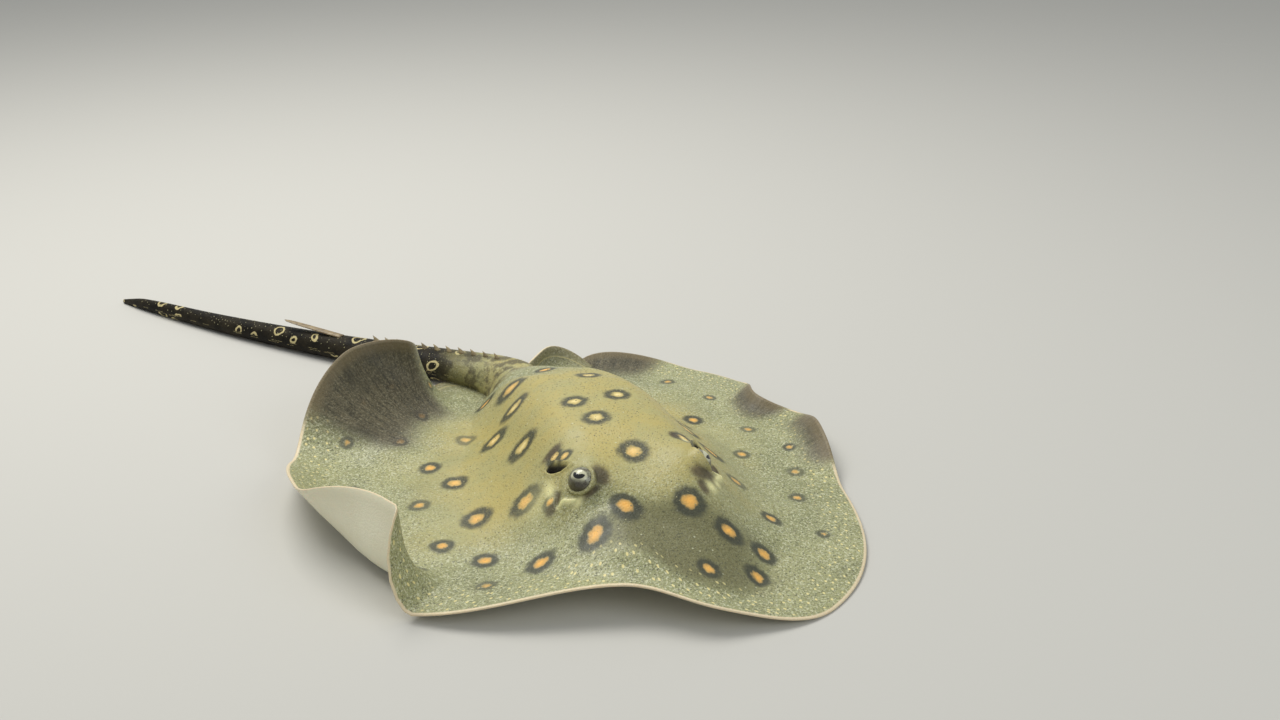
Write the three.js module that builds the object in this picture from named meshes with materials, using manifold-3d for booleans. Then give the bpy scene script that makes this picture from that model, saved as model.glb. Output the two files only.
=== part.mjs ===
// A freshwater stingray (Potamotrygon motoro) lying on the bottom, in millimetres.
// +Z is up and the belly rests on z = 0. The snout points to -Y and the animal's left side is +X.
// The origin is on the belly, under the middle of the disc.
import * as THREE from "three";
import { mergeVertices } from "three/addons/utils/BufferGeometryUtils.js";
import Module from "manifold-3d";

const wasm = await Module();
wasm.setup();

// ---------------------------------------------------------------- driving sizes

// Angles round the disc are in degrees from the snout, positive towards the animal's left.
const DISC = {
  halfWidth: 207,
  snoutReach: 227,
  rearReach: 204,
  edgeThickness: 1.6,
  rootThickness: 15,
  snoutTip: { height: 6, halfAngle: 6 },
  tailNotch: { depth: 62, halfAngle: 16 },
};

// The rim's raised waves. Each is centred on angle `at`, runs `ahead` degrees towards the snout and
// `behind` degrees towards the tail, turns the rim up by `tilt` degrees between the shares `from` and
// `to` of the radius, and gathers the rim inwards by `pull` millimetres (outwards where negative).
const WAVES = {
  snoutLift: { at: -13, ahead: 35, behind: 48, tilt: 20, from: 0.56, to: 0.72, pull: 43 },
  rightShoulderLift: { at: -57, ahead: 8, behind: 30, tilt: 92, from: 0.69, to: 0.86, pull: -28 },
  rightSideLift: { at: -80, ahead: 26, behind: 50, tilt: 58, from: 0.7, to: 0.93, pull: -16 },
  rightRearCurl: { at: -133, ahead: 26, behind: 30, tilt: 70, from: 0.48, to: 1, pull: -25 },
  rightRearCorner: { at: -150, ahead: 17, behind: 13, tilt: 55, from: 0.6, to: 1, pull: 6 },
  leftGather: { at: 76, ahead: 60, behind: 70, tilt: 8, from: 0.71, to: 1, pull: 44 },
  leftSideFold: { at: 86, ahead: 23, behind: 24, tilt: 42, from: 0.71, to: 1, pull: -8 },
  leftRearFold: { at: 114, ahead: 16, behind: 15, tilt: 48, from: 0.78, to: 1, pull: 20 },
  leftTailFold: { at: 160, ahead: 22, behind: 10, tilt: 24, from: 0.75, to: 1, pull: -6 },
};

// The raised middle of the body, from the snout to the root of the tail.
const TRUNK_STATIONS = [
  { y: -222, halfWidth: 12, height: 5 },
  { y: -190, halfWidth: 40, height: 12 },
  { y: -150, halfWidth: 56, height: 29 },
  { y: -118, halfWidth: 62, height: 46 },
  { y: -80, halfWidth: 65, height: 56 },
  { y: -30, halfWidth: 64, height: 59 },
  { y: 30, halfWidth: 58, height: 57 },
  { y: 90, halfWidth: 43, height: 47 },
  { y: 142, halfWidth: 25, height: 37 },
  { y: 240, halfWidth: 24, height: 24 },
];
const TRUNK_SHOULDER_POWER = 4.2;
const WING_LEVEL = 8;
const WING_TAPER = 0.9;
const RIM_FADE = 0.12;

// The hind body sways to the animal's right by `by` from one y to the other, less beyond `core` of the middle.
const SWAY = { by: 18, from: 40, to: 150, core: 40, fade: 80 };

// The tail leaves the notch straight back, then turns to the animal's right and straightens slowly.
const TAIL = {
  length: 440,
  rootY: 142,
  rootHalfAngle: 10,
  turn: 52,
  turnLength: 26,
  straighten: 16,
  stations: [
    { at: 0, halfWidth: 25, height: 31 },
    { at: 0.07, halfWidth: 21.5, height: 28 },
    { at: 0.16, halfWidth: 17.5, height: 25 },
    { at: 0.43, halfWidth: 11.5, height: 20 },
    { at: 0.73, halfWidth: 7.5, height: 14.5 },
    { at: 0.93, halfWidth: 4, height: 10.5 },
    { at: 1, halfWidth: 1.2, height: 4 },
  ],
  lengths: { tail_base: [0, 0.36], tail_middle: [0.36, 0.7], tail_tip: [0.7, 1] },
};
const TAIL_STEPS = 36;
const TAIL_SIDES = 14;
const CLOSEST_RINGS = 0.004;
const THORN_SIDES = 6;
const THORNS = { count: 11, from: 0.07, to: 0.33, length: 6.5, radius: 2.4, lean: 35, middle: 0.65 };
const STING = {
  at: 0.41,
  length: 58,
  halfWidth: 3.2,
  thickness: 2.6,
  rise: 5,
  sink: 1.4,
  taper: 0.75,
  barbs: { count: 9, from: 0.25, to: 0.9, depth: 0.8, hook: 1 },
};

// Each fin's hind edge is raised by up to `lift` degrees, most at `crest` degrees past its hind point.
const PELVIC_FINS = {
  left: { x: 20, y: 148, z: 3, halfLength: 52, halfWidth: 38, turn: 0, lift: 104, crest: 24 },
  right: { x: -62, y: 146, z: 0, halfLength: 44, halfWidth: 30, turn: -8, lift: 14, crest: 0 },
};
const FIN = { middle: 7, edge: 1.4, columns: 24, liftHalfAngle: 95, liftFrom: 0.25 };

const EYE = { x: 38, y: -94, z: 51.5, radius: 9.6 };
const BROW = { x: 35, y: -92, z: 46.5, halfSize: [15.5, 18, 13] };
const SPIRACLE = { x: 48.5, y: -69, z: 54, halfSize: [10.5, 3.2, 9], turn: 64 };
const ROUND_DETAIL = 12;
const EYE_DETAIL = 16;

const GAP = 0.3;
const COLUMN_STEP = 5;
const FINE_STEP = 2.5;
const FINE_ZONES = [[-75, -45]];
const ROWS = [0, 0.15, 0.3, 0.42, 0.52, 0.62, 0.71, 0.79, 0.88, 1];
const BEND_STEPS = 60;

const COLOURS = {
  skin: 0x8f8a63,
  tail: 0x2a2620,
  fin: 0x7a7054,
  eye: 0x2b2a26,
  sting: 0xcabf9c,
};

// ---------------------------------------------------------------- plain maths

const radians = THREE.MathUtils.degToRad;
const clamp01 = (t) => THREE.MathUtils.clamp(t, 0, 1);
const ease = (t) => THREE.MathUtils.smoothstep(t, 0, 1);
const turnBetween = (a, b) => THREE.MathUtils.euclideanModulo(a - b + 180, 360) - 180;
const hump = (offset, half) => 0.5 + 0.5 * Math.cos(Math.PI * clamp01(Math.abs(offset) / half));

// A smooth line through the `value` of each station, read at place `p` along `key`.
function along(stations, key, value, p) {
  const last = stations.length - 1;
  const place = THREE.MathUtils.clamp(p, stations[0][key], stations[last][key]);
  let i = 0;
  while (i < last - 1 && place > stations[i + 1][key]) i += 1;
  const span = stations[i + 1][key] - stations[i][key];
  const slope = (k) => {
    const a = stations[Math.max(k - 1, 0)];
    const b = stations[Math.min(k + 1, last)];
    return (b[value] - a[value]) / (b[key] - a[key]);
  };
  const t = (place - stations[i][key]) / span;
  const [v0, v1] = [stations[i][value], stations[i + 1][value]];
  const start = slope(i) * span;
  const end = slope(i + 1) * span;
  return (
    v0 * (2 * t ** 3 - 3 * t ** 2 + 1) +
    start * (t ** 3 - 2 * t ** 2 + t) +
    v1 * (3 * t ** 2 - 2 * t ** 3) +
    end * (t ** 3 - t ** 2)
  );
}

// ---------------------------------------------------------------- the disc

function waveShare(wave, angle) {
  const offset = turnBetween(angle, wave.at);
  const towardsSnout = offset * Math.sign(wave.at) < 0;
  return hump(offset, towardsSnout ? wave.ahead : wave.behind);
}

const atTailRoot = (angle) => Math.abs(turnBetween(angle, 180)) <= TAIL.rootHalfAngle;

// The disc's radius before it is bent. Across the tail's root the rim is straight.
function flatRadius(angle) {
  const phi = radians(angle);
  if (atTailRoot(angle)) return TAIL.rootY / -Math.cos(phi);
  const reach = Math.cos(phi) > 0 ? DISC.snoutReach : DISC.rearReach;
  const oval = 1 / Math.hypot(Math.sin(phi) / DISC.halfWidth, Math.cos(phi) / reach);
  const { snoutTip, tailNotch } = DISC;
  const tip = snoutTip.height * Math.exp(-((turnBetween(angle, 0) / snoutTip.halfAngle) ** 2));
  const notch = tailNotch.depth * Math.exp(-((turnBetween(angle, 180) / tailNotch.halfAngle) ** 4));
  let pull = 0;
  for (const wave of Object.values(WAVES)) pull += wave.pull * waveShare(wave, angle);
  return oval + tip - notch - pull;
}

// How steeply the underside rises, in degrees, at share `s` of the radius.
function rimTilt(angle, s) {
  let tilt = 0;
  for (const wave of Object.values(WAVES)) {
    const t = clamp01((s - wave.from) / (wave.to - wave.from));
    tilt += wave.tilt * waveShare(wave, angle) * (0.5 * t + 0.5 * ease(t));
  }
  return tilt;
}

function trunkHeight(x, y) {
  const halfWidth = along(TRUNK_STATIONS, "y", "halfWidth", y);
  const height = along(TRUNK_STATIONS, "y", "height", y);
  return height / (1 + Math.abs(x / halfWidth) ** TRUNK_SHOULDER_POWER);
}

function discThickness(angle, s, radius) {
  const x = Math.sin(radians(angle)) * radius * s;
  const y = -Math.cos(radians(angle)) * radius * s;
  const { edgeThickness, rootThickness } = DISC;
  const wing = edgeThickness + (rootThickness - edgeThickness) * (1 - s * s) ** WING_TAPER;
  const fade = atTailRoot(angle) ? 1 : ease((1 - s) / RIM_FADE);
  return wing + Math.max(trunkHeight(x, y) - WING_LEVEL, 0) * fade;
}

function swayAt(x, y) {
  const share = ease((y - SWAY.from) / (SWAY.to - SWAY.from));
  return SWAY.by * share * (1 - ease((Math.abs(x) - SWAY.core) / SWAY.fade));
}

const swayed = ([x, y]) => [x - swayAt(x, y), y];

// The underside and upper side of a plate that is bent up along each of its radii.
function bentPlate(angles, radiusAt, tiltAt, thicknessAt) {
  return angles.map((angle) => {
    const radius = radiusAt(angle);
    const out = new THREE.Vector3(Math.sin(radians(angle)), -Math.cos(radians(angle)), 0);
    const column = { bottom: [], top: [] };
    const place = { r: 0, z: 0, s: 0 };
    for (const s of ROWS) {
      const steps = Math.max(1, Math.round((s - place.s) * BEND_STEPS));
      const ds = (s - place.s) / steps;
      for (let k = 0; k < steps; k += 1) {
        const slope = radians(tiltAt(angle, place.s + ds * (k + 0.5)));
        place.r += Math.cos(slope) * ds * radius;
        place.z += Math.sin(slope) * ds * radius;
      }
      place.s = s;
      const slope = radians(tiltAt(angle, s));
      const thickness = thicknessAt(angle, s, radius);
      const bottom = out.clone().multiplyScalar(place.r).setZ(place.z);
      const up = out.clone().multiplyScalar(-Math.sin(slope)).setZ(Math.cos(slope));
      column.top.push(bottom.clone().addScaledVector(up, thickness));
      column.bottom.push(bottom);
    }
    return column;
  });
}

function columnAngles() {
  const angles = [];
  let angle = -180;
  while (angle < 180) {
    angles.push(angle);
    const fine = FINE_ZONES.some(([from, to]) => angle >= from && angle < to);
    angle += fine ? FINE_STEP : COLUMN_STEP;
  }
  return angles;
}

// ---------------------------------------------------------------- meshes

// A closed surface over rings of equal size, with both ends filled from their middles.
function skinned(rings) {
  const points = rings.flat();
  const size = rings[0].length;
  const faces = [];
  for (let i = 0; i < rings.length - 1; i += 1) {
    for (let j = 0; j < size; j += 1) {
      const a = i * size + j;
      const b = i * size + ((j + 1) % size);
      faces.push([a, b, b + size], [a, b + size, a + size]);
    }
  }
  for (const [start, turned] of [[0, true], [(rings.length - 1) * size, false]]) {
    const middle = new THREE.Vector3();
    for (let j = 0; j < size; j += 1) middle.addScaledVector(points[start + j], 1 / size);
    points.push(middle);
    for (let j = 0; j < size; j += 1) {
      const edge = [start + j, start + ((j + 1) % size)];
      if (turned) edge.reverse();
      faces.push([...edge, points.length - 1]);
    }
  }
  const geometry = new THREE.BufferGeometry().setFromPoints(points);
  geometry.setIndex(faces.flat());
  return geometry;
}

// A plate's rings run from the middle of its underside, over the rim, to the middle of its upper side.
function plateGeometry(columns) {
  const rings = [];
  for (let i = 1; i < ROWS.length; i += 1) rings.push(columns.map((c) => c.bottom[i]));
  for (let i = ROWS.length - 1; i > 0; i -= 1) rings.push(columns.map((c) => c.top[i]));
  return skinned(rings);
}

function solid(geometry) {
  const bare = geometry.clone();
  for (const name of Object.keys(bare.attributes)) {
    if (name !== "position") bare.deleteAttribute(name);
  }
  const merged = mergeVertices(bare, 1e-4);
  return new wasm.Manifold(
    new wasm.Mesh({
      numProp: 3,
      vertProperties: new Float32Array(merged.attributes.position.array),
      triVerts: new Uint32Array(merged.index.array),
    }),
  );
}

function geometryOf(manifold) {
  const mesh = manifold.getMesh();
  const geometry = new THREE.BufferGeometry();
  geometry.setAttribute("position", new THREE.BufferAttribute(mesh.vertProperties, 3));
  geometry.setIndex(new THREE.BufferAttribute(mesh.triVerts, 1));
  const flat = geometry.toNonIndexed();
  flat.computeVertexNormals();
  return flat;
}

function ellipsoid({ x, y, z, halfSize, turn = 0 }, side, detail = ROUND_DETAIL) {
  const geometry = new THREE.SphereGeometry(1, detail, detail / 2);
  geometry.scale(...halfSize);
  geometry.rotateZ(radians(turn * side));
  geometry.translate(x * side, y, z);
  return geometry;
}

// ---------------------------------------------------------------- the tail

// The tail's middle line on the floor: places and headings at equal steps of its length.
function tailRoute(steps) {
  const route = [];
  const place = new THREE.Vector2(...swayed([0, TAIL.rootY]));
  const ds = TAIL.length / steps;
  for (let i = 0; i <= steps; i += 1) {
    const l = i * ds;
    const bend = 1 - Math.exp(-l / TAIL.turnLength);
    const heading = radians(TAIL.turn * bend - (TAIL.straighten * l) / TAIL.length);
    route.push({ share: i / steps, x: place.x, y: place.y, heading });
    place.x -= Math.sin(heading) * ds;
    place.y += Math.cos(heading) * ds;
  }
  return route;
}

const ROUTE = tailRoute(TAIL_STEPS);

function tailPlace(share) {
  const p = share * TAIL_STEPS;
  const i = Math.min(Math.floor(p), TAIL_STEPS - 1);
  const t = p - i;
  const mix = (key) => THREE.MathUtils.lerp(ROUTE[i][key], ROUTE[i + 1][key], t);
  return { x: mix("x"), y: mix("y"), heading: mix("heading") };
}

const tailSize = (share, value) => along(TAIL.stations, "at", value, share);

function tailRing(share, margin = 0) {
  const { x, y, heading } = tailPlace(share);
  const across = new THREE.Vector3(Math.cos(heading), Math.sin(heading), 0);
  const halfWidth = tailSize(share, "halfWidth") + margin;
  const halfHeight = tailSize(share, "height") / 2 + margin;
  const flatTop = Math.cos(Math.PI / TAIL_SIDES);
  const ring = [];
  for (let j = 0; j < TAIL_SIDES; j += 1) {
    const a = (2 * Math.PI * j) / TAIL_SIDES;
    const rise = (halfHeight * Math.sin(a)) / flatTop;
    const point = new THREE.Vector3(x, y, halfHeight - margin + rise);
    ring.push(point.addScaledVector(across, halfWidth * Math.cos(a)));
  }
  return ring;
}

function tailLength(from, to, margin = 0) {
  const start = from + GAP / TAIL.length;
  const between = ROUTE.map(({ share }) => share).filter(
    (share) => share > start + CLOSEST_RINGS && share < to - CLOSEST_RINGS,
  );
  const rings = [start, ...between, to].map((share) => tailRing(share, margin));
  return solid(skinned(rings.reverse()));
}

function onTail(geometry, share, height) {
  const { x, y, heading } = tailPlace(share);
  geometry.rotateZ(heading);
  geometry.translate(x, y, height);
  return geometry;
}

function thorn(share) {
  const geometry = new THREE.ConeGeometry(THORNS.radius, THORNS.length, THORN_SIDES);
  geometry.rotateX(radians(THORNS.lean));
  return onTail(geometry, share, tailSize(share, "height") + THORNS.middle);
}

// One edge of the sting, from its base to its tip: each barb is a point and the notch behind it.
function barbedEdge(margin) {
  const { length, halfWidth, taper, barbs } = STING;
  const edge = [];
  for (let i = 1; i <= barbs.count; i += 1) {
    const y = length * (barbs.from + ((barbs.to - barbs.from) * i) / barbs.count);
    const w = halfWidth * (1 - taper * (y / length) ** 2) + margin;
    edge.push([w, y], [w - barbs.depth, y - barbs.hook]);
  }
  return edge;
}

// The sting is a flat blade with barbs down both edges, lying back along the tail.
function sting(margin = 0) {
  const { length, halfWidth, thickness } = STING;
  const edge = barbedEdge(margin);
  const shape = new THREE.Shape();
  shape.moveTo(-halfWidth - margin, -margin);
  shape.lineTo(halfWidth + margin, -margin);
  for (const [x, y] of edge) shape.lineTo(x, y);
  shape.lineTo(0, length + margin);
  for (const [x, y] of edge.toReversed()) shape.lineTo(-x, y);
  const depth = thickness + 2 * margin;
  const blade = new THREE.ExtrudeGeometry(shape, { depth, bevelEnabled: false });
  blade.translate(0, 0, -margin);
  blade.rotateX(Math.atan2(STING.rise, length));
  return solid(onTail(blade, STING.at, tailSize(STING.at, "height") - STING.sink));
}

// ---------------------------------------------------------------- fins and head

function pelvicFin({ x, y, z, halfLength, halfWidth, turn, lift, crest }) {
  const step = 360 / FIN.columns;
  const angles = Array.from({ length: FIN.columns }, (_, i) => -180 + i * step);
  const columns = bentPlate(
    angles,
    (a) => 1 / Math.hypot(Math.sin(radians(a)) / halfWidth, Math.cos(radians(a)) / halfLength),
    (a, s) => {
      const raised = hump(turnBetween(a, 180 + crest), FIN.liftHalfAngle);
      return lift * raised * ease((s - FIN.liftFrom) / (1 - FIN.liftFrom));
    },
    (a, s) => FIN.edge + (FIN.middle - FIN.edge) * (1 - s * s),
  );
  const geometry = plateGeometry(columns);
  geometry.rotateZ(radians(-turn));
  geometry.translate(x, y, z);
  return solid(geometry);
}

function eyeball(side, margin = 0) {
  const r = EYE.radius + margin;
  return solid(ellipsoid({ ...EYE, halfSize: [r, r, r] }, side, EYE_DETAIL));
}

function disc() {
  const geometry = plateGeometry(bentPlate(columnAngles(), flatRadius, rimTilt, discThickness));
  const places = geometry.attributes.position;
  for (let i = 0; i < places.count; i += 1) {
    places.setX(i, swayed([places.getX(i), places.getY(i)])[0]);
  }
  return solid(geometry);
}

// The whole flesh of the disc, with its fins, brows, eye sockets and spiracles.
function flesh() {
  let body = disc();
  for (const fin of Object.values(PELVIC_FINS)) body = body.add(pelvicFin(fin));
  body = body.subtract(tailLength(0, 1, GAP));
  for (const side of [-1, 1]) {
    body = body.add(solid(ellipsoid(BROW, side)));
    body = body.subtract(solid(ellipsoid(SPIRACLE, side)));
    body = body.subtract(eyeball(side, GAP));
  }
  return body;
}

// ---------------------------------------------------------------- parting

// The cuts' corners on the animal's left, before the sway. FAR is clear of the rim.
const FAR = 330;
const CORNERS = {
  snout: [32, -FAR],
  brow: [62, -50],
  shoulder: [60, 16],
  side: [FAR, 40],
  hip: [34, 104],
  finInner: [26, 142],
  finOuter: [104, 156],
  rear: [170, FAR],
};
const LEFT_FIN_REACH = -22;
const mirrored = ([x, y]) => [-x, y];
const mapCorners = (change) =>
  Object.fromEntries(Object.entries(CORNERS).map(([name, place]) => [name, swayed(change(place))]));
const left = mapCorners((place) => place);
const right = mapCorners(mirrored);

const wingFront = (c, side) => [c.snout, [FAR * side, -FAR], c.side, c.shoulder, c.brow];
const wingRear = (c, side) => [
  c.shoulder,
  c.side,
  [FAR * side, FAR],
  c.rear,
  c.finOuter,
  c.finInner,
  c.hip,
];
const pelvic = (c, ...tailSide) => [c.finInner, c.finOuter, c.rear, ...tailSide];

const REGIONS = {
  head: [right.snout, left.snout, left.brow, right.brow],
  trunk: [
    right.brow,
    left.brow,
    left.shoulder,
    left.hip,
    left.finInner,
    right.finInner,
    right.hip,
    right.shoulder,
  ],
  left_wing_front: wingFront(left, 1),
  left_wing_rear: wingRear(left, 1),
  left_pelvic_fin: pelvic(left, [LEFT_FIN_REACH, FAR], [LEFT_FIN_REACH, left.finInner[1]]),
  right_wing_front: wingFront(right, -1),
  right_wing_rear: wingRear(right, -1),
  right_pelvic_fin: pelvic(right, [right.finInner[0], FAR]),
};
const CUT = { below: -20, height: 160 };

function prism(outline) {
  const shape = new THREE.Shape(outline.map(([x, y]) => new THREE.Vector2(x, y)));
  const geometry = new THREE.ExtrudeGeometry(shape, { depth: CUT.height, bevelEnabled: false });
  geometry.translate(0, 0, CUT.below);
  return solid(geometry);
}

function seam([x0, y0], [x1, y1]) {
  const length = Math.hypot(x1 - x0, y1 - y0) + GAP;
  const geometry = new THREE.BoxGeometry(length, GAP, CUT.height);
  geometry.rotateZ(Math.atan2(y1 - y0, x1 - x0));
  geometry.translate((x0 + x1) / 2, (y0 + y1) / 2, CUT.below + CUT.height / 2);
  return solid(geometry);
}

function partedFlesh() {
  let body = flesh();
  for (const outline of Object.values(REGIONS)) {
    outline.forEach((from, i) => {
      body = body.subtract(seam(from, outline[(i + 1) % outline.length]));
    });
  }
  return Object.entries(REGIONS).map(([name, outline]) => [name, body.intersect(prism(outline))]);
}

// ---------------------------------------------------------------- the model

function named(name, manifold, color, roughness) {
  const material = new THREE.MeshStandardMaterial({ color, roughness, metalness: 0 });
  const mesh = new THREE.Mesh(geometryOf(manifold), material);
  mesh.name = name;
  return mesh;
}

function withThorns(tail) {
  let piece = tail;
  for (let i = 0; i < THORNS.count; i += 1) {
    const share = THREE.MathUtils.lerp(THORNS.from, THORNS.to, i / (THORNS.count - 1));
    piece = piece.add(solid(thorn(share)));
  }
  return piece;
}

const stingray = new THREE.Group();
for (const [name, piece] of partedFlesh()) {
  const colour = name.endsWith("fin") ? COLOURS.fin : COLOURS.skin;
  stingray.add(named(name, piece, colour, 0.55));
}
for (const [name, [from, to]] of Object.entries(TAIL.lengths)) {
  let piece = tailLength(from, to);
  if (name === "tail_base") piece = withThorns(piece);
  if (name === "tail_middle") piece = piece.subtract(sting(GAP));
  stingray.add(named(name, piece, COLOURS.tail, 0.5));
}
stingray.add(named("sting", sting(), COLOURS.sting, 0.4));
stingray.add(named("right_eye", eyeball(-1), COLOURS.eye, 0.1));
stingray.add(named("left_eye", eyeball(1), COLOURS.eye, 0.1));

export default stingray;
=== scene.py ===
"""A freshwater stingray lying on the bottom, as a life-size model.

Sizes are in millimetres until a mesh is made. The animal looks towards -Y and its left is +X.
"""

import math

import bmesh
import bpy
import numpy as np
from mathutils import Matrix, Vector
from mathutils.kdtree import KDTree


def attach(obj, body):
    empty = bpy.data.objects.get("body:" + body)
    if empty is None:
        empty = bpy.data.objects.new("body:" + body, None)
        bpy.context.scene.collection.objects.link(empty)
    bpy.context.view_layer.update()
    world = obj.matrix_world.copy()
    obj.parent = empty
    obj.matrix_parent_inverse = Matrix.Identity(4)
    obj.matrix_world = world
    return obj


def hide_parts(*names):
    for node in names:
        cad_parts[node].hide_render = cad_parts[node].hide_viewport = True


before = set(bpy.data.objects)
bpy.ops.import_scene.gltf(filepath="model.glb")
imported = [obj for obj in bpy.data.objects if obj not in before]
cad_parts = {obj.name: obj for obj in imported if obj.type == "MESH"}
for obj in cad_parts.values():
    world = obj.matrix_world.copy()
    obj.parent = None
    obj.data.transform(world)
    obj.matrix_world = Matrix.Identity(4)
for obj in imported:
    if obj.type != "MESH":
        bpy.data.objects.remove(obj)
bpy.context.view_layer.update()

MM = 0.001
SEED = 11

# ------------------------------------------------------------------ driving sizes

# Angles round the disc are in degrees from the snout, positive towards the animal's left.
DISC = {"half_width": 207, "snout_reach": 227, "rear_reach": 204, "edge": 1.6, "root": 15}
SNOUT_TIP = {"height": 6, "half_angle": 6}
TAIL_NOTCH = {"depth": 62, "half_angle": 16}

# Raised waves of the rim: where, degrees ahead and behind it, tilt in degrees, where the tilt starts
# and is whole along the radius, and how far the rim is pulled in.
WAVES = {
    "snout_lift": (-13, 35, 48, 20, 0.56, 0.72, 43),
    "right_shoulder_lift": (-57, 8, 30, 92, 0.69, 0.86, -28),
    "right_side_lift": (-80, 26, 50, 58, 0.7, 0.93, -16),
    "right_rear_curl": (-133, 26, 30, 70, 0.48, 1, -25),
    "right_rear_corner": (-150, 17, 13, 55, 0.6, 1, 6),
    "left_gather": (76, 60, 70, 8, 0.71, 1, 44),
    "left_side_fold": (86, 23, 24, 42, 0.71, 1, -8),
    "left_rear_fold": (114, 16, 15, 48, 0.78, 1, 20),
    "left_tail_fold": (160, 22, 10, 24, 0.75, 1, -6),
}
BEND_STEPS = 60
ROUND_EDGE = 3

# The raised middle of the body: y, half width, height.
TRUNK_STATIONS = (
    (-222, 12, 5),
    (-190, 40, 12),
    (-150, 56, 29),
    (-118, 62, 46),
    (-80, 65, 56),
    (-30, 64, 59),
    (30, 58, 57),
    (90, 43, 47),
    (142, 25, 37),
    (240, 24, 24),
)
TRUNK_SHOULDER_POWER = 4.2
WING_LEVEL = 8
WING_TAPER = 0.9
RIM_FADE = 0.12

# The hind body sways to the animal's right, less beyond the core of the middle.
SWAY = {"by": 18, "from": 40, "to": 150, "core": 40, "fade": 80}

TAIL = {
    "length": 440,
    "root_y": 142,
    "root_half_angle": 10,
    "turn": 52,
    "turn_length": 26,
    "straighten": 16,
}
# Share of the tail's length, half width, height.
TAIL_STATIONS = (
    (0, 25, 31),
    (0.07, 21.5, 28),
    (0.16, 17.5, 25),
    (0.43, 11.5, 20),
    (0.73, 7.5, 14.5),
    (0.93, 4, 10.5),
    (1, 1.2, 4),
)
TAIL_BLEND = 0.14
THORNS = {"count": 11, "from": 0.07, "to": 0.33, "height": 5.2, "radius": 2.4, "lean": 0.75}
STING = {"at": 0.41, "length": 58, "half_width": 3.2, "thickness": 2.6, "rise": 5, "sink": 1.4}
HOOKS = {"count": 24, "from": 0.2, "to": 0.94, "inset": 0.25}
DENTICLES = {"radius": 0.5, "height": 0.34, "lean": 0.6}

# Middle x, y and z, half length, half width, turn, lift of the hind edge, and where it is raised most.
PELVIC_FINS = {"left": (20, 148, 3, 52, 38, 0, 104, 24), "right": (-62, 146, 0, 44, 30, -8, 14, 0)}
FIN = {"middle": 7, "edge": 1.4, "lift_half_angle": 95, "lift_from": 0.25}

EYE = {"x": 38, "y": -94, "z": 51.5, "radius": 9.6}
GAZES = {"left": (0.76, -0.25, 0.60), "right": (-0.46, -0.46, 0.76)}
LID_AXES = {"left": (0.90, 0.20, 0.39), "right": (-0.60, -0.40, 0.69)}
# The lids part between two angles off their axis, and have a thick edge there.
LIDS = {"open_to": 58, "closed_from": 66, "edge_at": 68, "edge_width": 7, "edge": 0.7, "skin": 0.6}
LID_REACH = 9
LID_DEPTH = 1.3
SPIRACLE = {
    "x": 48.5,
    "y": -69,
    "half_width": 10.5,
    "half_length": 3.2,
    "turn": 64,
    "curve": 0.012,
    "depth": 8,
    "lip": 1.5,
}

# Low forms of the back: lift, distance from the middle line, half width, place along it, half length.
BACK_FORMS = {
    "hollow_between_eyes": (-2.4, 0, 22, -96, 24),
    "nape": (1.5, 0, 16, -40, 22),
    "gill_arches": (1.4, 40, 16, -22, 30),
    "gill_groove": (-1.3, 57, 9, -14, 46),
}
# Long ones: lift, distance from the middle line, half width, where it starts, where it is whole.
BACK_LINES = {
    "spine": (0.9, 0, 7, -20, 30),
    "flank_groove": (-1.0, 22, 8, 20, 60),
}
# Forms beside each eye: lift, distance out, half width, slant, place behind the eye, half length.
BROW_FORMS = {
    "mound": (5.2, -1, 14, 0, 3, 18),
    "fold": (1.8, 12.5, 2.2, 0.3, 1, 10),
    "groove": (-1.6, 16.6, 1.6, 0.4, 8, 8),
    "slit": (-2.0, 16.9, 1.3, 0.2, 1, 5),
}
# The pale bar in front of each eye: its middle out from the eye and ahead of it, and its direction.
BAR = {"out": 13, "ahead": 8, "across": 0.62, "along": 0.78, "half_width": 1.8, "lift": 1.7}

MOUTH = {"y": -114, "curve": 0.012, "half_width": 15, "corner": 4}
NOSTRIL = {"middle": (14.5, -126), "half_length": 5.2, "half_width": 3.0, "turn": 28}
GILLS = {"pairs": 5, "first": (41, -86), "last": (29, -32), "half_length": 5.6, "half_width": 1.7}
VENT = {"middle": (0, 117), "half_width": 3.2, "half_length": 7.5}
OPENING_DEPTH = 4.2
# Low forms of the underside: lift, distance from the middle line, half width, place, half length.
UNDER_FORMS = {
    "nasal_flap": (1.3, 15, 9, -120, 7),
    "gill_pad": (0.9, 35, 15, -59, 34),
}
JAW = {"lift": 0.8, "y": -108, "half_length": 3.5, "half_width": 14, "fade": 6}

# ------------------------------------------------------------------ plain maths


def ease(t):
    t = np.clip(t, 0, 1)
    return t * t * (3 - 2 * t)


def ramp(value, start, end):
    return ease((value - start) / (end - start))


def turn_between(a, b):
    return (a - b + 180) % 360 - 180


def hump(offset, half):
    return 0.5 + 0.5 * np.cos(np.pi * np.clip(np.abs(offset) / half, 0, 1))


def bell(distance, width):
    return np.exp(-((distance / width) ** 2))


def most(shares):
    return np.max(list(shares), 0)


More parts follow.
